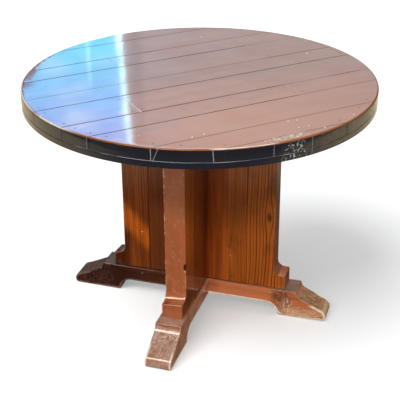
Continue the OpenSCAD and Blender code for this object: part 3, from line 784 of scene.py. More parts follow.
def base_marks_and_sheen(t, place, grain, base):
    """Adds dusted faces with painted sheen, a painted highlight on the front foot, grime and rubbed places to the
    base's colour, and says how far the varnish is gone.
    """
    s = settings().base
    x, y, z = t.split(place)
    low = t.span(z, 0.070, 0.006)
    wear = t.group(edge_wear(), vector=place, distance=t.attribute("edge_distance"), width=0.0042, amount=0.40)
    marks = t.group(scuffs(), vector=place, patch_size=0.035, patches=0.20, scratches=0.3, chips=0.06,
                    chip_size=0.003)
    reach = abs(x) | abs(y)
    outer = t.span(reach, 0.26, 0.36)
    normal = t.split(t.wire("Normal", "ShaderNodeNewGeometry"))
    upward = t.span(normal[2], 0.35, 0.8)
    toe_end = t.span(y, -0.331, -0.336) * t.span(abs(normal[0]), 0.6, 0.3)
    upward = upward | toe_end * 0.8
    cloud = t.blots(place, 24, 4, 0.6, 0.3, 0.65, 0.25, 0.85)

    # Dust with painted sheen on faces that look up, grime on the ledges, and the scuffed slope of the right foot
    clean = t.span(t.attribute("tone"), 0.1, 0.9, 1.0, 0.12)
    # Partly dust and partly painted sheen: faces that look up get a pale pinkish colour
    dust_and_sheen = upward * cloud * t.span(reach, 0.255, 0.275, 0.3, 1.0)
    base = base.lay(dust_and_sheen * clean, s.dusty)
    flat = t.span(normal[2], 0.95, 0.995)
    grime = flat * t.span(x, 0.2, 0.3, 0.0, 1.0)
    base = base.lay(grime * t.span(cloud, 0.25, 0.85, 0.95, 0.75), (0.165, 0.098, 0.06))
    right_face = t.span(x, 0.05, 0.09) * t.span(normal[1], -0.5, -0.8)
    right_face = right_face * t.span(x, 0.27, 0.23, 0.2, 1.0)
    base = base.lay(right_face * 0.35, (0.78, 0.27, 0.11))
    right_slope = upward * (1.0 - flat) * t.span(x, 0.3, 0.34)
    base = base.lay(right_slope * 0.8, (0.27, 0.12, 0.055))
    rubbed = right_slope * t.blots(place, 85, 6, 0.75, 0.5, 0.6)
    base = base.lay(rubbed * 0.8, (0.5, 0.34, 0.13))
    dull = right_slope * t.blots(place, 50, 5, 0.75, 0.52, 0.62)
    base = base.lay(dull * 0.75, (0.11, 0.062, 0.024))
    front_side = t.span(x, 0.0375, 0.0395) * t.span(y, -0.06, -0.1)
    front_side = front_side * t.blots(place, 34, 4, 0.6, 0.3, 0.62, 0.15, 0.85)
    base = base.lay(front_side * (1.0 - upward), (0.56, 0.31, 0.21))
    patch = marks["Patch"] * (outer * (low * 0.8 + 0.12))
    patch = patch * t.span(t.attribute("tone"), 0.1, 0.7, 1.0, 0.25)
    base = base.lay(patch * 0.8, s.worn_wood)

    # Scraped and rubbed places of the feet, and a painted highlight on the front foot's top
    upright_face = t.span(normal[1], -0.5, -0.8) * t.span(z, 0.118, 0.1)
    scraped = spot(t, place, SCRAPED_DARK, 0.046) * t.blots(place, 70, 5, 0.7, 0.4, 0.52)
    base = base.lay(scraped * (upright_face * 0.85), (0.11, 0.055, 0.032))
    off = t.split(place - SCUFFED_PAD)
    fan = t.math("ARCTAN2", off[0], off[2] + 0.105)
    strokes = t.noise(t.join(fan * 26, off[2] * 42, 0.3), 1, 6, 0.72)
    pad = spot(t, place, SCUFFED_PAD, 0.048) * upright_face * t.span(strokes, 0.5, 0.6)
    pad = pad * t.span(z, 0.086, 0.06)
    base = base.lay(pad * 0.85, (0.66, 0.52, 0.4))
    toe_side = t.span(x, 0.27, 0.33) * t.span(z, 0.05, 0.015)
    toe_side = toe_side * t.blots(place, (30, 30, 110), 5, 0.7, 0.36, 0.55)
    base = base.lay(toe_side, (0.66, 0.40, 0.22))
    pale = t.span(x, 0.28, 0.3) * t.span(z, 0.046, 0.03) * t.blots(place, 150, 5, 0.8, 0.52, 0.6)
    base = base.lay(pale * 0.7, (0.75, 0.6, 0.45))
    arch_edge = near(t, t.attribute("edge_distance"), 0.0024, 0.0026, 0.0012) * t.span(z, 0.054, 0.047)
    arch_edge = arch_edge * (clean * t.blots(place, 30, 3, 0.5, 0.3, 0.5, 0.45, 1.0))
    base = base.lay(arch_edge, (0.92, 0.80, 0.64))
    black = t.span(x, -0.25, -0.3) * t.blots(place, 42, 5, 0.7, 0.48, 0.56)
    base = base.lay(black * 0.85, (0.01, 0.004, 0.003))
    specks = t.span(x, -0.27, -0.33) * t.blots(place, 330, 3, 0.6, 0.62, 0.67)
    base = base.lay(specks * 0.6, (0.55, 0.44, 0.4))
    # Painted highlight: pale crackled glints on the front foot's upper faces
    front_top_highlight = upward * t.span(y, -0.3, -0.34) * t.blots(place, 125, 5, 0.8, 0.47, 0.58)
    front_top_highlight = front_top_highlight * t.blots(place, 26, 3, 0.5, 0.35, 0.62, 0.25, 1.0)
    front_top_highlight = front_top_highlight * t.span(y, -0.395, -0.36, 0.45, 1.0)
    base = base.lay(front_top_highlight * 0.75, (0.82, 0.7, 0.64))
    dark_rub = upward * t.span(y, -0.33, -0.36) * t.blots(place, (75, 30, 30), 5, 0.7, 0.5, 0.62)
    base = base.lay(dark_rub * 0.6, (0.21, 0.105, 0.065))

    # Worn edges, scratches, chips and soles
    edge_worn = wear["Worn"] * (clean * (outer * 0.35 + 0.3))
    base = base.lay(edge_worn, (0.54, 0.33, 0.19))
    base = base.lay(marks["Scratch"] * (outer * 0.45), s.worn_wood)
    base = base.lay(marks["Chip"] * 0.6, (0.5, 0.38, 0.27))
    sole = t.span(z, 0.012, 0.001) * t.blots(place, 30, 4, 0.6, 0.35, 0.6, 0.2, 1.0)
    base = base.lay(sole * 0.7, (0.38, 0.23, 0.13))
    return base, patch | edge_worn | (sole | pad)


def base_wood():
    """Varnished wood of the cross base, dusted on top with painted sheen there, scuffed at the feet, and darker on
    the left foot by painted shadow.
    """
    s = settings().base
    return varnished_wood("base_wood", (s.light_wood, s.dark_wood, (0.105, 0.08, 0.12)), spacing=0.0075, wander=0.010,
                          pith=(0.02, 0.45), contrast=0.42, coat_rough=0.08, skin=3.0, extra=base_marks_and_sheen)


def sawn_wood(name, light, dark):
    """Unvarnished wood of the hidden pieces, on the object's own place."""
    material, t = start_material(name, Specular_IOR_Level=0.3)
    place = t.place()
    x, y, z = t.split(place)
    grain = t.group(wood_grain(), vector=t.join(y, z, x), spacing=0.006, wander=0.008, pith_side=0.01,
                    pith_depth=0.60)
    base = t.mix(grain["Late wood"] * 0.6, light, dark)
    saw = t.noise(place, (160, 160, 12), 2) * 0.4
    finish_material(t, base, t.span(grain["Fibre"], 0.2, 0.8, 0.55, 0.75), saw + grain["Height"], 0.3)
    return material


def metal(name, tint, rust):
    """Dull plated steel with a little rust."""
    material, t = start_material(name, Metallic=0.9)
    place = t.place()
    spots = t.blots(place, 260, 4, 0.6, 0.5, 0.68)
    base = t.mix(spots * rust, tint, (0.12, 0.045, 0.02))
    finish_material(t, base, t.blots(place, 90, 2, 0.5, 0.3, 0.7, 0.32, 0.55), spots, 0.2, 0.0003)
    return material


# Meshes

def store(mesh, name, values, kind="FLOAT"):
    layer = mesh.attributes.new(name, kind, "POINT")
    key = "vector" if kind == "FLOAT_VECTOR" else "value"
    layer.data.foreach_set(key, [c for v in values for c in v] if kind == "FLOAT_VECTOR" else list(values))


def cut_grid(bm, axis, places):
    """Cuts every face along planes across an axis."""
    normal = [0, 0, 0]
    normal[axis] = 1
    for place in places:
        point = [0, 0, 0]
        point[axis] = place
        bmesh.ops.bisect_plane(bm, geom=bm.verts[:] + bm.edges[:] + bm.faces[:], dist=1e-6,
                               plane_co=point, plane_no=normal)


def steps(low, high, spacing):
    count = max(1, round((high - low) / spacing))
    return [low + (high - low) * i / count for i in range(1, count)]


def dress(obj, material, slot_name, *nodes):
    """Gives an object its material, hangs it on the root body and hides the frame's parts that it stands for."""
    obj.data.materials.clear()
    obj.data.materials.append(material)
    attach(obj, "root")
    if nodes:
        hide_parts(*nodes)


def mesh_of(name, points, faces=()):
    mesh = bpy.data.meshes.new(name)
    mesh.from_pydata([tuple(p) for p in points], [], faces)
    return mesh


def new_piece(name, data):
    obj = bpy.data.objects.new(name, data)
    bpy.context.scene.collection.objects.link(obj)
    return obj


def smooth(mesh, degrees):
    mesh.shade_smooth()
    mesh.set_sharp_from_angle(angle=math.radians(degrees))


def weigh_normals(obj):
    """Keeps flat faces flat beside their rounded edges."""
    modifier = obj.modifiers.new("Weighted normals", "WEIGHTED_NORMAL")
    modifier.keep_sharp = True
    settle(obj)


def settle(obj):
    """Turns an object's modifiers into its plain mesh."""
    graph = bpy.context.evaluated_depsgraph_get()
    mesh = bpy.data.meshes.new_from_object(obj.evaluated_get(graph), preserve_all_data_layers=True, depsgraph=graph)
    obj.modifiers.clear()
    old = obj.data
    obj.data = mesh
    bpy.data.meshes.remove(old)
    mesh.name = obj.name
    return mesh


def side_points(start, end, radius, arc, count):
    """Points from a start up to, and without, an end, along a straight edge or the round."""
    if not arc:
        return [start]
    a0 = math.atan2(start[1], start[0])
    a1 = math.atan2(end[1], end[0])
    if a1 < a0:
        a1 += math.tau
    return [(radius * math.cos(a0 + (a1 - a0) * i / count), radius * math.sin(a0 + (a1 - a0) * i / count))
            for i in range(count)]


def board_loop(span_v, span_u, radius, inset):
    """Plan outline of a board at one height, anticlockwise, always with as many points."""
    v0, v1 = span_v[0] + inset, span_v[1] - inset
    v0, v1 = max(v0, -radius), min(v1, radius)
    reach0, reach1 = math.sqrt(max(0, radius ** 2 - v0 ** 2)), math.sqrt(max(0, radius ** 2 - v1 ** 2))
    left_arc, right_arc = span_u[0] < -TOP_RADIUS, span_u[1] > TOP_RADIUS
    u0 = (-reach0, -reach1) if left_arc else (span_u[0] + 0.2 * inset,) * 2
    u1 = (reach0, reach1) if right_arc else (span_u[1] - 0.2 * inset,) * 2
    corners = [(u0[0], v0), (u1[0], v0), (u1[1], v1), (u0[1], v1)]
    width = min(span_v[1], TOP_RADIUS) - max(span_v[0], -TOP_RADIUS)
    fine = 18 + round(220 * width)
    arcs = [(False, 1), (right_arc, fine), (False, 1), (left_arc, fine)]
    if span_v[0] <= -TOP_RADIUS:
        corners, arcs = [corners[3], corners[2]], [(True, 150), (False, 1)]
    elif span_v[1] >= TOP_RADIUS:
        corners, arcs = [corners[1], corners[0]], [(True, 150), (False, 1)]
    loop = []
    for i, (is_arc, count) in enumerate(arcs):
        loop += side_points(corners[i], corners[(i + 1) % len(corners)], radius, is_arc, count)
    return loop


# Step in which the boards are cut along their length, and the bevel round the underside of the top
BOARD_STEP, LOWER_BEVEL = 0.025, 0.0006


def board_levels(s):
    """Heights from the underside up, each with the radius of the rim and the inset of the seams."""
    bottom = RING_TOP
    levels = [(bottom, TOP_RADIUS - LOWER_BEVEL, 0.0), (bottom + LOWER_BEVEL, TOP_RADIUS, 0.0)]
    for i in range(7):
        a = math.pi / 2 * i / 6
        z = TABLE_HEIGHT - s.edge_radius * (1 - math.sin(a))
        levels.append((z, TOP_RADIUS - s.edge_radius * (1 - math.cos(a)),
                       max(0.0, z - (TABLE_HEIGHT - s.arris))))
    return levels


def seam_darkness(row, u):
    for start, end, darkness in SEAM_STRETCHES.get(row, ()):
        if start <= u <= end:
            return darkness
    return 0.0


def board_mesh(name, number, row, span_v, span_u, s):
    half = s.seam_gap / 2
    low_v, high_v = span_v[0] + half, span_v[1] - half
    low_u, high_u = span_u[0] + 0.1 * half, span_u[1] - 0.1 * half
    bm = bmesh.new()
    loops = []
    for z, radius, inset in board_levels(s):
        loop = board_loop((low_v, high_v), (low_u, high_u), radius, inset)
        loops.append([bm.verts.new((u, v, z)) for u, v in loop])
    for lower, upper in zip(loops, loops[1:]):
        for i in range(len(lower)):
            j = (i + 1) % len(lower)
            bm.faces.new((lower[i], lower[j], upper[j], upper[i]))
    bm.faces.new(list(reversed(loops[0])))
    bm.faces.new(loops[-1])
    edge_v = (max(low_v, -TOP_RADIUS), min(high_v, TOP_RADIUS))
    cut_grid(bm, 0, [k * BOARD_STEP for k in range(-21, 22)])
    cut_grid(bm, 1, [edge_v[0] + (edge_v[1] - edge_v[0]) * k / 6 for k in range(1, 6)])
    bmesh.ops.triangulate(bm, faces=[f for f in bm.faces if len(f.verts) > 4])
    mesh = bpy.data.meshes.new(name)
    bm.to_mesh(mesh)
    bm.free()

    rng = random.Random(400 + number)
    tone, shift = rng.random(), Vector([rng.uniform(-3, 3) for _ in range(3)])
    tilt, lift = rng.uniform(-1, 1), rng.uniform(-0.5, 0.5)
    middle = (edge_v[0] + edge_v[1]) / 2
    half_width = (edge_v[1] - edge_v[0]) / 2
    seams, joints, seen, grain = [], [], [], []
    for vertex in mesh.vertices:
        u, v, z = vertex.co
        to_low = v - low_v if span_v[0] > -TOP_RADIUS else 1
        to_high = high_v - v if span_v[1] < TOP_RADIUS else 1
        seams.append(min(to_low, to_high))
        joints.append(min(u - low_u if span_u[0] > -TOP_RADIUS else 1, high_u - u if span_u[1] < TOP_RADIUS else 1))
        seen.append(seam_darkness(row if to_low < to_high else row + 1, u))
        grain.append((v + shift.x, z - TABLE_HEIGHT + shift.y * 0.02, u + shift.z))
        place = to_world(u, v, z)
        if z > TABLE_HEIGHT - 0.0005 or z > TABLE_HEIGHT - s.edge_radius and min(seams[-1], joints[-1]) > 0.002:
            across = (v - middle) / half_width
            wave = noise.noise(Vector((u * 4, v * 9, number * 7.3)))
            place.z += s.unevenness * (lift + 0.5 * tilt * across - 0.8 * across ** 2 + 0.8 * wave - 0.3)
        vertex.co = place
    store(mesh, "seam_distance", seams)
    store(mesh, "joint_distance", joints)
    store(mesh, "seam_seen", seen)
    paleness = JOINT_PALENESS.get(row, 0.0) * (1 if span_u[1] > TOP_RADIUS else 0.25)
    store(mesh, "joint_seen", [paleness] * len(mesh.vertices))
    store(mesh, "tone", [tone] * len(mesh.vertices))
    store(mesh, "grain", grain, "FLOAT_VECTOR")
    smooth(mesh, 30)
    return mesh


def arc(cx, cz, r, start, end, count):
    """Points on an arc, from one turn in degrees to another."""
    return [(cx + r * math.cos(math.radians(start + (end - start) * i / count)),
             cz + r * math.sin(math.radians(start + (end - start) * i / count))) for i in range(count + 1)]


def slab(outline, half, edge, grid, plan=False):
    """A slab from an outline, its long edges rounded and its faces cut into a grid.

    The outline is in the x and z plane and the slab is as thick as twice half along y, or, for a plan,
    in the x and y plane and as high as the two numbers in half."""
    bm = bmesh.new()
    if plan:
        bottom = [bm.verts.new((x, y, half[0])) for x, y in outline]
        move = Vector((0, 0, half[1] - half[0]))
    else:
        bottom = [bm.verts.new((x, -half, z)) for x, z in outline]
        move = Vector((0, 2 * half, 0))
    face = bm.faces.new(bottom)
    made = bmesh.ops.extrude_face_region(bm, geom=[face])
    far = [v for v in made["geom"] if isinstance(v, bmesh.types.BMVert)]
    bmesh.ops.translate(bm, verts=far, vec=move)
    bmesh.ops.recalc_face_normals(bm, faces=bm.faces)
    if plan:
        sharp = [e for e in bm.edges if abs((e.verts[0].co - e.verts[1].co).normalized().z) > 0.9
                 and e.calc_face_angle(0) > 0.5]
    else:
        sharp = [e for e in bm.edges if abs(e.verts[0].co.y - e.verts[1].co.y) < 1e-7]
    bmesh.ops.bevel(bm, geom=sharp, offset=edge, segments=3, profile=0.5, affect="EDGES", clamp_overlap=True)
    low = Vector([min(v.co[k] for v in bm.verts) for k in range(3)])
    high = Vector([max(v.co[k] for v in bm.verts) for k in range(3)])
    for axis in range(3):
        cut_grid(bm, axis, steps(low[axis], high[axis], grid[axis]))
    bmesh.ops.triangulate(bm, faces=[f for f in bm.faces if len(f.verts) > 4])
    bmesh.ops.remove_doubles(bm, verts=bm.verts[:], dist=1e-7)
    return bm


def away_from(point, outline):
    """Distance from a point to a closed outline."""
    best = 1.0
    for a, b in zip(outline, outline[1:] + outline[:1]):
        dx, dz = b[0] - a[0], b[1] - a[1]
        run = dx * dx + dz * dz
        k = 0 if run == 0 else max(0.0, min(1.0, ((point[0] - a[0]) * dx + (point[1] - a[1]) * dz) / run))
        best = min(best, math.hypot(a[0] + k * dx - point[0], a[1] + k * dz - point[1]))
    return best


def slab_mesh(name, bm, number, half, warp, turned, tone, outline=None, lengthwise=False, spread=1.0,
              outer_edge=None):
    """Stores a slab's grain, tone and edge attributes, then warps and turns it into place."""
    mesh = bpy.data.meshes.new(name)
    bm.to_mesh(mesh)
    bm.free()
    rng = random.Random(900 + number)
    shift = Vector((rng.uniform(-0.06, 0.06), rng.uniform(-0.03, 0.03), rng.uniform(-3, 3)))
    grain, edge, tones, outer = [], [], [], []
    for vertex in mesh.vertices:
        x, y, z = vertex.co
        across, along = (z, x) if lengthwise else (x * spread, z)
        grain.append((across + shift.x, y + shift.y, along + shift.z))
        edge.append(max(half - abs(y), away_from((x, z), outline)) if outline else 1.0)
        tones.append(tone(x) if callable(tone) else tone)
        outer.append(1.0 if outer_edge is not None and x > outer_edge - 0.0006 else 0.0)
        vertex.co = turned @ warp(vertex.co.copy())
    store(mesh, "grain", grain, "FLOAT_VECTOR")
    store(mesh, "tone", tones)
    store(mesh, "edge_distance", edge)
    store(mesh, "outer_edge", outer)
    smooth(mesh, 38)
    return mesh


def ease(value, low, high):
    """Zero below one place, one above another, and smooth between them."""
    x = min(1.0, max(0.0, (value - low) / (high - low)))
    return x * x * (3 - 2 * x)


def hand_planed(amount, number):
    """Slight waviness of hand-finished faces."""
    def warp(p):
        q = p * 9 + Vector((number * 3.1, 0, 0))
        return p + Vector((noise.noise(q), noise.noise(q + Vector((7, 3, 1))), 0)) * amount
    return warp


def quarter_turn(i):
    return Matrix.Rotation(math.pi / 2 * i, 3, "Z")


# Heights and reaches of each wing's block, by wing: right, back, left, front
BLOCKS = ((50, 39), (50, 39), (47, 37.5), (50, 39))
# How the block's top leans across its width, as the drop at one side and at the other
BLOCK_DROPS = ((0, 0), (0, 0), (7, 0), (6, 0))
# How close the grain lines of the outer boards are, against those of the inner boards
LINE_SPREAD = 0.5
# Widths of the worn edges, and the steps in which faces are cut, each way
INNER_EDGE, OUTER_EDGE, BEAM_EDGE = 0.0012, 0.0018, 0.0022
UPRIGHT_GRID, BEAM_GRID = (0.03, 0.02, 0.03), (0.014, 0.018, 0.013)
# Clearance of housings and laps, and how far each upright board stops short of its joint
FIT, SHORT = 0.00015, 0.00003
# Depth of the grooves for the front and back wings, and how far those wings reach into them
GROOVE, HOUSED = 0.008, 0.00785
# How dark the inner and the outer board of each wing are; the dark tones of the left wing and of the front wing's
# inner board are painted shade
WING_TONES_AND_SHADE = ((0.22, 0.08), (0.35, 0.25), (0.62, 0.40), (0.60, 0.12))


def inner_upright(number, s):
    i = number - 1
    half = s.thickness / 2
    to = s.joint - SHORT
    if i % 2:
        outline = [(half - HOUSED, -half), (to, -half), (to, half), (half - HOUSED, half)]
    else:
        notch, deep = half + FIT, half - GROOVE
        outline = [(FIT, -deep), (notch, -deep), (notch, -half), (to, -half), (to, half), (notch, half),
                   (notch, deep), (FIT, deep)]
    bm = slab(outline, (BEAM_TOP, BEARER_BOTTOM), INNER_EDGE, UPRIGHT_GRID, plan=True)
    return slab_mesh(f"inner_board_{number}", bm, number, half, hand_planed(0.0002, number), quarter_turn(i),
                     WING_TONES_AND_SHADE[i][0])


# Chip in an edge of the front wing: the wing, its place in the wing's own frame, and its reach each way
NOTCHED, NOTCH, NOTCH_REACH = 4, Vector((253.5, 33, 252)) * MM, Vector((6.5, 6.5, 15)) * MM


def outer_upright(number, s):
    i = number - 1
    half = s.thickness / 2
    height, out = (n * MM for n in BLOCKS[i])
    top = BEAM_TOP + height
    edge, cove, nose = s.half_width, 24 * MM, 3 * MM
    outline = [(s.joint + SHORT, BEAM_TOP), (edge + out, BEAM_TOP)]
    outline += arc(edge + out - nose, top - nose, nose, 0, 90, 4)
    outline += arc(edge + cove, top + cove, cove, 270, 180, 14)
    outline += [(edge, BEARER_BOTTOM), (s.joint + SHORT, BEARER_BOTTOM)]
    bm = slab(outline, half, OUTER_EDGE, UPRIGHT_GRID)
    if number == NOTCHED:
        cut_grid(bm, 0, [NOTCH.x - NOTCH_REACH.x, NOTCH.x - 0.5 * NOTCH_REACH.x])
        cut_grid(bm, 1, [NOTCH.y - NOTCH_REACH.y, NOTCH.y - 0.5 * NOTCH_REACH.y])
        cut_grid(bm, 2, [NOTCH.z + NOTCH_REACH.z * k / 5 for k in range(-5, 6)])
    drops = [n * MM for n in BLOCK_DROPS[i]]
    planed = hand_planed(0.00025, number + 10)

    def warp(p):
        side = (p.y + half) / (2 * half)
        lean = drops[0] * (1 - side) + drops[1] * side
        near_block = ease(p.x, edge - 0.004, edge + 0.012) * ease(p.z, BEAM_TOP, top)
        off = [(p[k] - NOTCH[k]) / NOTCH_REACH[k] for k in range(3)]
        chip = min(1.0, max(0.0, 2 - 2 * sum(c * c for c in off))) if number == NOTCHED else 0.0
        return planed(p) - Vector((0.0036 * chip, 0.0040 * chip, lean * near_block))

    return slab_mesh(f"outer_board_{number}", bm, number + 10, half, warp, quarter_turn(i), WING_TONES_AND_SHADE[i][1],
                     outline, spread=LINE_SPREAD, outer_edge=edge)


# Sizes of one foot in millimetres: toe reach, rounds on the toe and the sole, how far the sole is worn off and how
# far the toe bulges. The tone is how dark its varnish is; the left foot's dark tone is painted shadow.
Foot = namedtuple("Foot", "toe toe_round sole_round worn bulge tone")
FEET = {"right": Foot(430, 24, 8, 4.5, 0, 0.05), "left": Foot(436, 20, 9, 1, 3, 1.0),
        "front": Foot(435, 16, 6, 1, 0, 0.25), "back": Foot(432, 18, 6, 2, 0, 0.35)}
LEDGE, SCOOP, SLOPE, LEAN, PAD_IN, ARCH = 332, 26, 25, 6, 273, 42


def half_beam(foot):
    """Right half of a beam's outline, from the arch round the toe to the ledge, in millimetres."""
    top = BEAM_TOP / MM
    s, lean = math.radians(SLOPE), math.radians(LEAN)
    start = Vector((LEDGE + SCOOP - SCOOP * math.sin(s), top - SCOOP * math.cos(s)))
    n1, n2 = Vector((-math.sin(s), -math.cos(s))), Vector((-math.cos(lean), -math.sin(lean)))
    d1, d2 = start.dot(n1) + foot.toe_round, foot.toe * n2.x + foot.toe_round
    det = n1.x * n2.y - n1.y * n2.x
    centre = Vector(((d1 * n2.y - d2 * n1.y) / det, (n1.x * d2 - n2.x * d1) / det))
    sole = foot.sole_round
    return (arc(PAD_IN - ARCH, 0, ARCH, 90, 4, 12) + [(PAD_IN + 2, 0)]
            + arc(foot.toe - sole * (1 + math.sin(lean)) / math.cos(lean), sole, sole, -90, LEAN, 5)
            + arc(centre.x, centre.y, foot.toe_round, LEAN, 90 - SLOPE, 7)
            + arc(LEDGE + SCOOP, top, SCOOP, 270 - SLOPE, 188, 10)
            + arc(LEDGE - 1.5, top - 1.8, 1.6, 20, 90, 3))


def base_beam(name, number, feet, turned, lap_low, s):
    """One beam of the cross base, with its half lap, mortise-side bolt holes and worn feet."""
    half = s.width / 2
    ends = [FEET[f] for f in feet]
    outline = half_beam(ends[0]) + [(-x, z) for x, z in reversed(half_beam(ends[1]))]
    outline = [(x * MM, z * MM) for x, z in outline]
    bm = slab(outline, half, BEAM_EDGE, BEAM_GRID)
    planed = hand_planed(0.0003, number)

    def warp(p):
        foot = ends[0] if p.x > 0 else ends[1]
        reach = abs(p.x)
        toe = ease(reach, 0.30, 0.43)
        low = 1 - ease(p.z, 0.0, 0.040)
        q = p * 38
        dent = min(0.0, noise.noise(q) + 0.12) * ease(reach, 0.25, 0.33) * (0.4 + low)
        out = Vector((0, math.copysign(1, p.y) if abs(p.y) > half - 0.003 else 0, 0))
        p = planed(p) + out * dent * 0.0016
        p.z += foot.worn * MM * toe * low
        p.x += math.copysign(foot.bulge * MM * math.exp(-((p.z - 0.030) / 0.018) ** 2) * ease(reach, 0.40, 0.43), p.x)
        return p

    def tone(x):
        return ends[0].tone + (ends[1].tone - ends[0].tone) * ease(-x, -0.10, 0.26)

    obj = new_piece(name, slab_mesh(name, bm, number, half, warp, turned, tone, outline, lengthwise=True))
    cut_lap_and_holes(obj, turned, lap_low, half)
    return obj


def cut_lap_and_holes(obj, turned, lap_low, half):
    """Takes out half of the crossing and the recesses for the bolt heads."""
    middle = (BEAM_TOP + ARCH * MM) / 2
    lap = half + FIT
    bm = bmesh.new()
    low, high = (ARCH * MM - 0.02, middle) if lap_low else (middle, BEAM_TOP + 0.02)
    bmesh.ops.create_cube(bm, size=1, matrix=Matrix.Translation((0, 0, (low + high) / 2))
                          @ Matrix.Diagonal((2 * lap, 2 * lap, high - low, 1)))
    for x in BOLT_REACHES:
        for side in (-1, 1):
            bmesh.ops.create_cone(bm, cap_ends=True, segments=32, radius1=RECESS, radius2=RECESS, depth=RECESS_DEEP,
                                  matrix=Matrix.Translation((side * x, 0, ARCH * MM)))
    cutter = bpy.data.meshes.new("cutter")
    bm.transform(turned.to_4x4())
    bm.to_mesh(cutter)
    bm.free()
    tool = new_piece("cutter", cutter)
    modifier = obj.modifiers.new("Cut", "BOOLEAN")
    modifier.object, modifier.operation, modifier.solver = tool, "DIFFERENCE", "EXACT"
    settle(obj)
    bpy.data.objects.remove(tool)
    bpy.data.meshes.remove(cutter)


# Bolts of the base: their distances from the middle, and the radius and twice the depth of their recesses
BOLT_REACHES = (0.10237, 0.22825)
RECESS, RECESS_DEEP = 0.013, 0.024


# Geometry node trees

def geometry_tree(name, seeded=True, **sizes):
    """A geometry group that puts copies on points, each turned by its own amount if it is seeded."""
    more = [("Turn seed", "NodeSocketInt", 0)] * seeded + [("Finish", "NodeSocketMaterial", None)]
    return new_group(name, "GeometryNodeTree", ("Points", GEOMETRY, None), sizes, more, [("Geometry", GEOMETRY)])


def end_tree(t, given, result, geometry):
    """Realizes the copies and gives them their material."""
    real = t.wire(0, "GeometryNodeRealizeInstances", {"Geometry": geometry})
    done = t.wire(0, "GeometryNodeSetMaterial", {"Geometry": real, "Material": given["Finish"]})
    t.feed(result["Geometry"], done)


def moved(t, geometry, z):
    return t.wire(0, "GeometryNodeTransform", {"Geometry": geometry, "Translation": t.join(0, 0, z)})


def cylinder(t, diameter, depth, z, sides):
    """A cylinder whose middle stands at a height."""
    sizes = {"Vertices": sides, "Radius": diameter * 0.5, "Depth": depth}
    return moved(t, t.wire("Mesh", "GeometryNodeMeshCylinder", sizes), z)


def cone(t, bottom, top, depth, z, sides):
    """A cone that starts at a height."""
    sizes = {"Vertices": sides, "Radius Bottom": bottom * 0.5, "Radius Top": top * 0.5, "Depth": depth}
    return moved(t, t.wire("Mesh", "GeometryNodeMeshCone", sizes), z)


def joined(t, *parts):
    node = t.add("GeometryNodeJoinGeometry")
    for part in parts:
        t.feed(node.inputs[0], part)
    return Wire(t, node.outputs[0])


def scatter(t, given, geometry):
    """One copy at each point, each turned by its own amount."""
    spin = t.add("FunctionNodeRandomValue", {"Seed": given["Turn seed"]}, data_type="FLOAT")
    spin.inputs[2].default_value, spin.inputs[3].default_value = 0.0, math.tau
    turned = t.join(0, 0, spin.outputs[1])
    return t.wire(0, "GeometryNodeInstanceOnPoints", {"Points": given["Points"], "Instance": geometry,
                                                      "Rotation": turned})


def oblong(t, width, height):
    return t.wire(0, "GeometryNodeCurvePrimitiveQuadrilateral", {"Width": width, "Height": height}, mode="RECTANGLE")


def nail_tree():
    """Nails that point down, with a slightly domed head at each point."""
    tree, t, given, result = geometry_tree("Nails", head_diameter=0.006, head_thickness=0.0012, shank_diameter=0.003,
                                           length=0.05)
    tip = 0.004
    half_head = given["Head thickness"] * -0.5
    head = cylinder(t, given["Head diameter"], given["Head thickness"], half_head - 0.0001, 14)
    dome = cone(t, given["Head diameter"] * 0.98, given["Head diameter"] * 0.6, 0.0002, -0.0001, 14)
    plain_length = given["Length"] - tip
    shank = cylinder(t, given["Shank diameter"], plain_length, plain_length * -0.5, 10)
    point = cone(t, 0.0, given["Shank diameter"], tip, given["Length"] * -1, 10)
    end_tree(t, given, result, scatter(t, given, joined(t, head, dome, shank, point)))
    return tree


def screw_tree():
    """Screws that point up, with a cross recess in each head."""
    tree, t, given, result = geometry_tree("Screws", head_diameter=0.01, head_height=0.003, head_taper=1.0,
                                           shank_diameter=0.005, length=0.03)
    tip = 0.003
    taper = (given["Head diameter"] - given["Shank diameter"]) * given["Head taper"]
    head = cone(t, given["Head diameter"], given["Head diameter"] - taper, given["Head height"], 0.0, 24)
    recessed = t.add("GeometryNodeMeshBoolean", {"Mesh 1": head}, operation="DIFFERENCE", solver="EXACT")
    for x, y in ((0.55, 0.13), (0.13, 0.55)):
        size = t.join(given["Head diameter"] * x, given["Head diameter"] * y, 0.003)
        t.feed(recessed.inputs["Mesh 2"], t.wire(0, "GeometryNodeMeshCube", {"Size": size}))
    plain_length = given["Length"] - tip - given["Head height"]
    middle = plain_length * 0.5 + given["Head height"]
    shank = cylinder(t, given["Shank diameter"], plain_length, middle, 12)
    point = cone(t, given["Shank diameter"], 0.0, tip, given["Length"] - tip, 12)
    end_tree(t, given, result, scatter(t, given, joined(t, Wire(t, recessed.outputs["Mesh"]), shank, point)))
    return tree


def bolt_tree():
    """Lag bolts that point up, each with a six-sided head below its seat."""
    tree, t, given, result = geometry_tree("Lag bolts", head_across=0.0185, head_height=0.0065, shank_diameter=0.01,
                                           length=0.098)
    head = cylinder(t, given["Head across"], given["Head height"] * 0.8, given["Head height"] * -0.4, 6)
    crown = cone(t, given["Head across"] * 0.8, given["Head across"] * 0.97, given["Head height"] * 0.2,
                 given["Head height"] * -1.0, 6)
    shank = cylinder(t, given["Shank diameter"], given["Length"], given["Length"] * 0.5, 20)
    end_tree(t, given, result, scatter(t, given, joined(t, head, crown, shank)))
    return tree


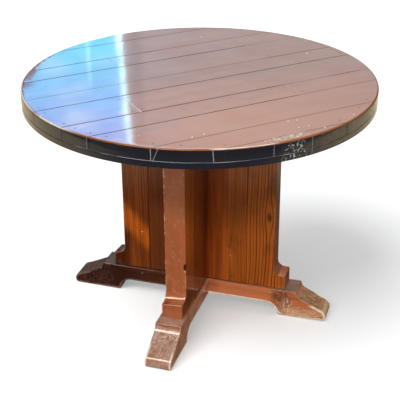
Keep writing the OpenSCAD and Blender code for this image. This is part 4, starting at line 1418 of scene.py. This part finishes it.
def washer_tree():
    """Flat washers, each with its hole."""
    tree, t, given, result = geometry_tree("Washers", outer_diameter=0.024, hole=0.0106, thickness=0.002)
    middle = (given["Outer diameter"] + given["Hole"]) * 0.25
    path = t.wire(0, "GeometryNodeCurvePrimitiveCircle", {"Resolution": 36, "Radius": middle}, mode="RADIUS")
    profile = oblong(t, (given["Outer diameter"] - given["Hole"]) * 0.5, given["Thickness"])
    ring = t.wire(0, "GeometryNodeCurveToMesh", {"Curve": path, "Profile Curve": profile})
    end_tree(t, given, result, scatter(t, given, moved(t, ring, given["Thickness"] * 0.5)))
    return tree


def ring_tree():
    """One block of the ring: a rounded section carried along an arc."""
    tree, t, given, result = geometry_tree("Ring block", seeded=False, outer_radius=0.533, width=0.1,
                                           thickness=0.0195, edge_radius=0.002, start=0.0, sweep=0.785, bottom=0.7)
    middle = given["Width"] * -0.5 + given["Outer radius"]
    path = t.wire(0, "GeometryNodeCurveArc", {"Resolution": 64, "Start Angle": given["Start"],
                                              "Sweep Angle": given["Sweep"], "Radius": middle}, mode="RADIUS")
    upright = t.wire(0, "GeometryNodeSetCurveNormal", {"Curve": path}, mode="Z_UP")
    section = oblong(t, given["Width"], given["Thickness"])
    eased = t.wire(0, "GeometryNodeFilletCurve", {"Curve": section, "Count": 4, "Radius": given["Edge radius"]},
                   mode="POLY")
    sweep = t.wire(0, "GeometryNodeCurveToMesh", {"Curve": upright, "Profile Curve": eased, "Fill Caps": True})
    end_tree(t, given, result, moved(t, sweep, given["Thickness"] * 0.5 + given["Bottom"]))
    return tree


def grow(name, points, tree, material, **sizes):
    """Runs a tree on some points and keeps its plain mesh as a piece."""
    obj = new_piece(name, mesh_of(name, points))
    modifier = obj.modifiers.new(tree.name, "NODES")
    modifier.node_group = tree
    wanted = {**spoken(sizes), "Finish": material}
    for item in tree.interface.items_tree:
        if item.item_type == "SOCKET" and item.in_out == "INPUT" and item.name in wanted:
            modifier[item.identifier] = wanted.pop(item.name)
    if wanted:
        raise RuntimeError(f"{tree.name} has no input named {sorted(wanted)}")
    settle(obj)
    if not obj.data.vertices:
        raise RuntimeError(f"{name} came out empty")
    smooth(obj.data, 35)
    return obj


# Lengths of the fasteners
RIM_NAIL, JOINT_NAIL, RING_SCREW, BEARER_SCREW, LAG_BOLT = 0.050, 0.028, 0.0355, 0.055, 0.098
# How far the nails stand proud, how far in from the rim the ring's screws stand, and the place of a bearer's screw
PROUD, RING_SCREW_IN = 0.0002, 0.062
BEARER_SCREW_AT = Vector((0.315, 0.019, 0.021))
# Distance from the arch of a beam up to the seat of a washer, in millimetres, and the washer's thickness
SEAT, WASHER_THICK = 12, 0.002


# Operators

class PieceOperator:
    bl_options = {"REGISTER", "UNDO"}


class TABLE_OT_top_boards(PieceOperator, bpy.types.Operator):
    """Builds the fourteen boards of the round top"""
    bl_idname = "round_table.top_boards"
    bl_label = "Top boards"

    def execute(self, context):
        s = settings().top
        material = top_varnish()
        for number, (row, span_v, span_u) in enumerate(boards(), 1):
            obj = new_piece(f"plank_{number}", board_mesh(f"plank_{number}", number, row, span_v, span_u, s))
            weigh_normals(obj)
            dress(obj, material, "top_wood", f"top_board_{number}")
        return {"FINISHED"}


class TABLE_OT_rim_ring(PieceOperator, bpy.types.Operator):
    """Builds the eight blocks of the ring under the edge"""
    bl_idname = "round_table.rim_ring"
    bl_label = "Rim ring"

    def execute(self, context):
        r = settings().rim
        tree, material = ring_tree(), rim_paint()
        gap = 0.0004 / TOP_RADIUS
        for number in range(1, RING_BLOCKS + 1):
            obj = grow(f"rim_block_{number}", [(0, 0, 0)], tree, material, outer_radius=TOP_RADIUS, width=r.width,
                       thickness=RING_TOP - RING_BOTTOM, edge_radius=r.edge_radius,
                       start=RING_JOINT + RING_STEP * (number - 1) + gap / 2, sweep=RING_STEP - gap,
                       bottom=RING_BOTTOM)
            weigh_normals(obj)
            dress(obj, material, "rim_wood", f"ring_block_{number}")
        return {"FINISHED"}


class TABLE_OT_uprights(PieceOperator, bpy.types.Operator):
    """Builds the boards of the cross-shaped pedestal"""
    bl_idname = "round_table.uprights"
    bl_label = "Uprights"

    def execute(self, context):
        s = settings().pedestal
        material = upright_fir()
        for number in range(1, 5):
            for kind, make in (("inner", inner_upright), ("outer", outer_upright)):
                obj = new_piece(f"{kind}_board_{number}", make(number, s))
                weigh_normals(obj)
                dress(obj, material, "upright_wood", f"{kind}_upright_{number}")
        return {"FINISHED"}


class TABLE_OT_cross_base(PieceOperator, bpy.types.Operator):
    """Builds the two half-lapped beams of the base"""
    bl_idname = "round_table.cross_base"
    bl_label = "Cross base"

    def execute(self, context):
        s = settings().base
        material = base_wood()
        for name, number, feet, turns, lap_low in (("side_to_side", 31, ("right", "left"), 0, False),
                                                   ("front_to_back", 32, ("back", "front"), 1, True)):
            obj = base_beam(f"base_{name}", number, feet, quarter_turn(turns), lap_low, s)
            smooth(obj.data, 38)
            weigh_normals(obj)
            dress(obj, material, "base_wood", f"base_beam_{name}")
        return {"FINISHED"}


class TABLE_OT_nails(PieceOperator, bpy.types.Operator):
    """Drives the nails into the ring and beside the end joints"""
    bl_idname = "round_table.nails"
    bl_label = "Nails"

    def execute(self, context):
        f = settings().fasteners
        tree, material = nail_tree(), metal("nail_iron", (0.045, 0.035, 0.032), 0.5)
        reach = TOP_RADIUS - NAIL_IN
        rows = [v for row in range(ROWS[0], ROWS[1] + 1) for v in nail_lines(row) if abs(v) < reach - NAIL_SIDE]
        proud = TABLE_HEIGHT + PROUD
        rim = [to_world(side * math.sqrt(reach ** 2 - v ** 2), v, proud) for v in rows for side in (-1, 1)]
        ends = [to_world(u + side * NAIL_END, v, proud) for row, u in END_JOINTS.items()
                for side in (-1, 1) for v in nail_lines(row)]
        for name, points, reach_down, node in (("rim_nails", rim, RIM_NAIL, "ring_nails"),
                                               ("joint_nails", ends, JOINT_NAIL, "end_joint_nails")):
            obj = grow(name, points, tree, material, head_diameter=f.nail_head, shank_diameter=f.nail_shank,
                       length=reach_down, turn_seed=f.turn_seed)
            dress(obj, material, "fastener_steel", node)
        return {"FINISHED"}


def nail_lines(row):
    """Where the two lines of nails stand in a row."""
    low, high = row_span(row)
    return low + NAIL_SIDE, high - NAIL_SIDE


class TABLE_OT_screws(PieceOperator, bpy.types.Operator):
    """Drives the screws that come up through the ring and the bearers"""
    bl_idname = "round_table.screws"
    bl_label = "Screws"

    def execute(self, context):
        f = settings().fasteners
        tree, material = screw_tree(), metal("screw_steel", (0.50, 0.50, 0.50), 0.35)
        ring_reach = TOP_RADIUS - RING_SCREW_IN
        turns = [RING_JOINT + RING_STEP * (i + 0.5) / 3 for i in range(3 * RING_BLOCKS)]
        ring = [(ring_reach * math.cos(a), ring_reach * math.sin(a), RING_BOTTOM) for a in turns]
        out, aside, up = BEARER_SCREW_AT
        bearer = [quarter_turn(k) @ Vector((out, side * aside, BEARER_BOTTOM + up))
                  for k in range(4) for side in (-1, 1)]
        for name, points, taper, reach_up, node in (
                ("ring_screws_new", ring, 1.0, RING_SCREW, "ring_screws"),
                ("bearer_screws_new", bearer, 0.25, BEARER_SCREW, "bearer_screws")):
            obj = grow(name, points, tree, material, head_diameter=f.screw_head, head_height=0.003, head_taper=taper,
                       shank_diameter=f.screw_shank, length=reach_up, turn_seed=f.turn_seed)
            dress(obj, material, "fastener_steel", node)
        return {"FINISHED"}


class TABLE_OT_bolts(PieceOperator, bpy.types.Operator):
    """Sets the lag bolts and washers under the base"""
    bl_idname = "round_table.bolts"
    bl_label = "Lag bolts and washers"

    def execute(self, context):
        f = settings().fasteners
        material = metal("bolt_steel", (0.42, 0.41, 0.40), 0.6)
        seat = (ARCH + SEAT) * MM
        points = [quarter_turn(k) @ Vector((x, 0, seat - WASHER_THICK)) for k in range(4) for x in BOLT_REACHES]
        bolts = grow("lag_bolts_base", points, bolt_tree(), material, head_across=f.lag_across,
                     shank_diameter=f.lag_shank, length=LAG_BOLT, turn_seed=f.turn_seed)
        dress(bolts, material, "fastener_steel", "base_lag_bolts")
        washers = grow("washers_base", points, washer_tree(), material, outer_diameter=f.washer,
                       turn_seed=f.turn_seed)
        dress(washers, material, "fastener_steel", "base_washers")
        return {"FINISHED"}


class TABLE_OT_carried_over(PieceOperator, bpy.types.Operator):
    """Gives the bearers, tongues, dowels and hidden bolts their finishes"""
    bl_idname = "round_table.carried_over"
    bl_label = "Bearers and hidden joinery"

    def execute(self, context):
        bearer = sawn_wood("bearer_wood", (0.22, 0.10, 0.045), (0.08, 0.032, 0.014))
        tongue = sawn_wood("tongue_wood", (0.55, 0.36, 0.19), (0.36, 0.20, 0.09))
        steel = metal("hidden_steel", (0.45, 0.44, 0.43), 0.3)
        for names, material in ((("bearer_side_to_side", "bearer_front_to_back"), bearer),
                                (("seam_splines", "end_splines", "upright_dowels"), tongue),
                                (("bearer_lag_bolts", "bearer_washers"), steel)):
            for name in names:
                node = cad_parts[name]
                node.data.materials.clear()
                node.data.materials.append(material)
        return {"FINISHED"}


# Azimuth and elevation of the soft lights over and in front of the table
OVERHEAD = math.radians(-38), math.radians(56)
FROM_THE_FRONT = math.radians(14), math.radians(17)
# The low beam: where it shines, the way back to its lamp, its width and height, and its tilt
SUNLIT_PATCH = Vector((-0.215, -0.033, 0.250))
BEAM_WAY = math.radians(-12), math.radians(22)
BEAM_SIZE, BEAM_TILT = (0.055, 0.17), math.radians(48)
# The dark screen seen only in the low pieces' gloss: its radius, and its lower and upper edge
SCREEN = (1.25, 0.42, 0.95)


class TABLE_OT_stage(PieceOperator, bpy.types.Operator):
    """Lays the floor, hangs the lights and sets the camera"""
    bl_idname = "round_table.stage"
    bl_label = "Floor, lights and camera"

    def execute(self, context):
        s = settings().stage
        scene = context.scene
        scene.view_settings.view_transform = "Standard"
        floor = new_piece("floor", floor_mesh())
        floor.data.materials.append(floor_finish(s))
        screen = new_piece("dark_screen", screen_mesh(*SCREEN))
        screen.data.materials.append(screen_finish())
        screen.visible_camera = screen.visible_diffuse = screen.visible_shadow = False
        room_light(scene, s)
        key = add_sun("key", s.key, (1.0, 0.95, 0.88), 11, s.key_azimuth, s.key_elevation)
        over = add_sun("over_floor", s.over, (1.0, 1.0, 1.0), 48, *OVERHEAD)
        fill = add_sun("front_fill", s.fill, (1.0, 0.95, 0.90), 50, *FROM_THE_FRONT)
        fill.visible_glossy = False
        wash = add_light("floor_wash", "SUN", s.wash, (0.98, 1.0, 1.01))
        wash.data.use_shadow = False
        wash.rotation_euler = aim(Vector((0, 0, 1)))
        beam = add_light("low_beam", "AREA", s.beam, (1.0, 0.80, 0.22))
        beam.data.shape, beam.data.spread = "RECTANGLE", math.radians(3)
        beam.data.size, beam.data.size_y = BEAM_SIZE
        way = direction(*BEAM_WAY)
        beam.location = SUNLIT_PATCH + way * 0.9
        beam.rotation_euler = (way.to_track_quat("Z", "Y") @ Quaternion((0, 0, 1), BEAM_TILT)).to_euler()
        pieces = [o for o in scene.objects if o.type == "MESH" and o not in (floor, screen)]
        for light, name, lit in ((over, "floor_only", [floor]), (wash, "floor_washed", [floor]),
                                 (fill, "table_filled", pieces), (key, "table_only", pieces),
                                 (beam, "left_wing_only", [bpy.data.objects["outer_board_3"]])):
            only_on(light, name, lit)
        scene.camera = photo_camera(s)
        return {"FINISHED"}


def direction(azimuth, elevation):
    """The way from the table towards something at an azimuth and elevation."""
    level = math.cos(elevation)
    return Vector((math.sin(azimuth) * level, -math.cos(azimuth) * level, math.sin(elevation)))


def aim(towards):
    return towards.to_track_quat("Z", "Y").to_euler()


def add_light(name, kind, strength, tint):
    light = bpy.data.lights.new(name, kind)
    light.energy, light.color = strength, tint
    return new_piece(name, light)


def add_sun(name, strength, tint, width, azimuth, elevation):
    """A sun as wide as some degrees, from an azimuth and elevation."""
    sun = add_light(name, "SUN", strength, tint)
    sun.data.angle = math.radians(width)
    sun.rotation_euler = aim(direction(azimuth, elevation))
    return sun


def only_on(light, name, objects):
    """Limits what a light shines on, while everything still casts its shadows."""
    chosen = bpy.data.collections.new(name)
    for obj in objects:
        chosen.objects.link(obj)
    light.light_linking.receiver_collection = chosen


def floor_mesh():
    far, under = 14, -0.0003
    corners = [(-far, -far, under), (far, -far, under), (far, far, under), (-far, far, under)]
    return mesh_of("floor", corners, [(0, 1, 2, 3)])


def screen_mesh(radius, low, high):
    """A band of cloth hung round the table."""
    turns = [math.tau * k / 48 for k in range(48)]
    points = [(radius * math.cos(a), radius * math.sin(a), z) for z in (low, high) for a in turns]
    faces = [(k, (k + 1) % 48, 48 + (k + 1) % 48, 48 + k) for k in range(48)]
    return mesh_of("dark_screen", points, faces)


def screen_finish():
    """Dull warm cloth that only the gloss of the low pieces shows."""
    material, t = start_material("screen_cloth", Specular_IOR_Level=0.0)
    weave = t.noise(t.place(), 6, 3)
    finish_material(t, t.mix(weave, (0.10, 0.085, 0.07), (0.20, 0.17, 0.14)), t.span(weave, 0.3, 0.7, 0.8, 0.9))
    return material


def floor_finish(s):
    """Pale floor that looks like darker ground in the table's gloss."""
    material, t = start_material("floor_pale", Specular_IOR_Level=0.0)
    place = t.place()
    patchy = t.noise(place, 1.3, 3)
    base = t.mix(t.span(patchy, 0.3, 0.7), s.floor, scaled(s.floor, 0.985))
    behind = t.vector("DOT_PRODUCT", place, (-math.sin(s.azimuth), math.cos(s.azimuth), 0))
    ground = t.mix(t.span(behind, -1.9, -0.5), (0.085, 0.092, 0.145), (0.62, 0.50, 0.32))
    ground = ground.lay(t.span(t.vector("LENGTH", place), 1.15, 0.85), (0.045, 0.030, 0.022))
    paths = t.add("ShaderNodeLightPath").outputs
    other = t.mix(paths["Is Glossy Ray"], (0.20, 0.15, 0.10), ground)
    finish_material(t, t.mix(paths["Is Camera Ray"], other, base), t.span(patchy, 0.3, 0.7, 0.75, 0.85))
    return material


def room_light(scene, s):
    """White room: soft fill for the table, with a cool window that only its gloss shows."""
    world = bpy.data.worlds.new("room")
    scene.world = world
    world.use_nodes = True
    t = Tree(world.node_tree)
    way = t.place("Generated")
    right = (math.cos(s.azimuth), math.sin(s.azimuth), 0)
    ahead = (-math.sin(s.azimuth), math.cos(s.azimuth), 0)
    degrees = 180 / math.pi
    side = t.math("ARCTAN2", *(t.vector("DOT_PRODUCT", way, axis) for axis in (right, ahead))) * degrees
    x, y, z = t.split(way)
    rise = t.math("ARCSINE", z) * degrees
    haze = t.mix(t.span(rise, 15, 35), scaled((0.95, 0.90, 0.90), s.sheen), scaled((2.2, 1.75, 1.6), s.sheen))
    haze = haze.lay(t.span(abs(side), 45, 90), (0.4, 0.36, 0.34))
    haze = haze.lay(t.span(rise, 38, 55), (0.9, 0.84, 0.80))
    haze = haze.lay(t.span(rise, 16.5, 12), (0.12, 0.10, 0.08))
    haze = haze.lay(near(t, side, -3.8, 0.22, 0.35) * 0.35, (0.3, 0.2, 0.2))
    window = t.mix(t.span(rise, 16, 23), (0.0, 2.9, 3.85), (0.45, 2.1, 5.1))
    window = window.lay(t.span(rise, 23, 32), (1.9, 2.5, 5.6))
    cloud = t.blots(way, (20, 20, 62), 5, 0.65, 0.48, 0.6)
    cloud = cloud * t.span(rise, 16, 22, 0.15, 0.8)
    window = window.lay(cloud, (2.7, 3.9, 5.5))
    lower_part = t.span(rise, 42, 37) * t.span(rise, 9, 12)
    thin_bar = near(t, side, -6.675, 0.02, 0.05) * t.span(rise, 20.0, 19.7, 0.0, 0.7)
    limit = rise * -0.43 + -1.855 - t.span(rise, 19.4, 19.5, 0.0, 0.9, False)
    inside = t.span(side - limit, -0.05, 0.1)
    side = side - (rise - 18) * 0.06
    waver = (t.noise(rise, 0.55, 2, dimensions="1D") - 0.5) * 0.3
    stripe = side + waver
    strength = t.span(t.noise(rise, 0.9, 2, dimensions="1D"), 0.35, 0.65, 0.45, 1.0)
    open_part = t.span(side, -4.62, -4.82) * inside * lower_part
    curtain = (1.0 - inside) * (t.span(side, -40, -25) * lower_part)
    haze = haze.lay(curtain, (0.35, 0.12, 0.08))
    haze = haze.lay(open_part, window)
    haze = haze.lay(near(t, stripe, -4.74, 0.07, 0.2) * strength * lower_part, (4.4, 7.2, 7.8))
    haze = haze.lay(thin_bar * lower_part, (3.6, 6.2, 7.0))
    front = t.math("ARCTAN2", x, y * -1) * degrees
    strip = near(t, front, -17, 26, 6) * near(t, rise, 55, 12, 3)
    haze = haze.lay(strip, (18, 18, 17))
    above = near(t, side, -10, 15, 4) * near(t, rise, 53, 14, 3)
    haze = haze.lay(above, (8, 8, 7.8))
    paths = t.add("ShaderNodeLightPath").outputs
    light = t.mix(paths["Is Glossy Ray"], (s.room, s.room, s.room), haze)
    light = light.lay(paths["Is Camera Ray"], (1, 1, 1))
    t.feed(world.node_tree.nodes["Background"].inputs["Color"], light)


def photo_camera(s):
    """A camera where the photograph was taken from."""
    camera = new_piece("camera", bpy.data.cameras.new("camera"))
    camera.data.sensor_width, camera.data.lens = 36, s.lens
    camera.data.clip_end = 60
    back = direction(s.azimuth, s.elevation)
    right = Vector((math.cos(s.azimuth), math.sin(s.azimuth), 0))
    up = back.cross(right)
    side = right * math.cos(s.roll) + up * math.sin(s.roll)
    head = up * math.cos(s.roll) - right * math.sin(s.roll)
    eye = right * s.aim_side + Vector((0, 0, s.aim_height)) + back * s.distance
    camera.matrix_world = Matrix((side, head, back)).transposed().to_4x4()
    camera.location = eye
    return camera


PIECE_OPERATORS = (TABLE_OT_top_boards, TABLE_OT_rim_ring, TABLE_OT_uprights, TABLE_OT_cross_base, TABLE_OT_nails,
                   TABLE_OT_screws, TABLE_OT_bolts, TABLE_OT_carried_over, TABLE_OT_stage)


class TABLE_PT_panel(bpy.types.Panel):
    """Lists the table's settings and the steps that build it"""
    bl_label = "Round table"
    bl_idname = "TABLE_PT_panel"
    bl_space_type = "VIEW_3D"
    bl_region_type = "UI"
    bl_category = "Table"

    def draw(self, context):
        for operator in PIECE_OPERATORS:
            self.layout.operator(operator.bl_idname)
        for name in GROUPS:
            box = self.layout.box()
            box.label(text=name.capitalize())
            group = getattr(settings(), name)
            for key in GROUPS[name].__annotations__:
                box.prop(group, key)


CLASSES = (*GROUPS.values(), TableSettings, *PIECE_OPERATORS, TABLE_PT_panel)


def register():
    for cls in CLASSES:
        bpy.utils.register_class(cls)
    bpy.types.Scene.round_table = PointerProperty(type=TableSettings)


def unregister():
    del bpy.types.Scene.round_table
    for cls in reversed(CLASSES):
        bpy.utils.unregister_class(cls)


def main():
    register()
    for operator in PIECE_OPERATORS:
        getattr(bpy.ops.round_table, operator.bl_idname.split(".")[1])()


if __name__ == "__main__":
    main()
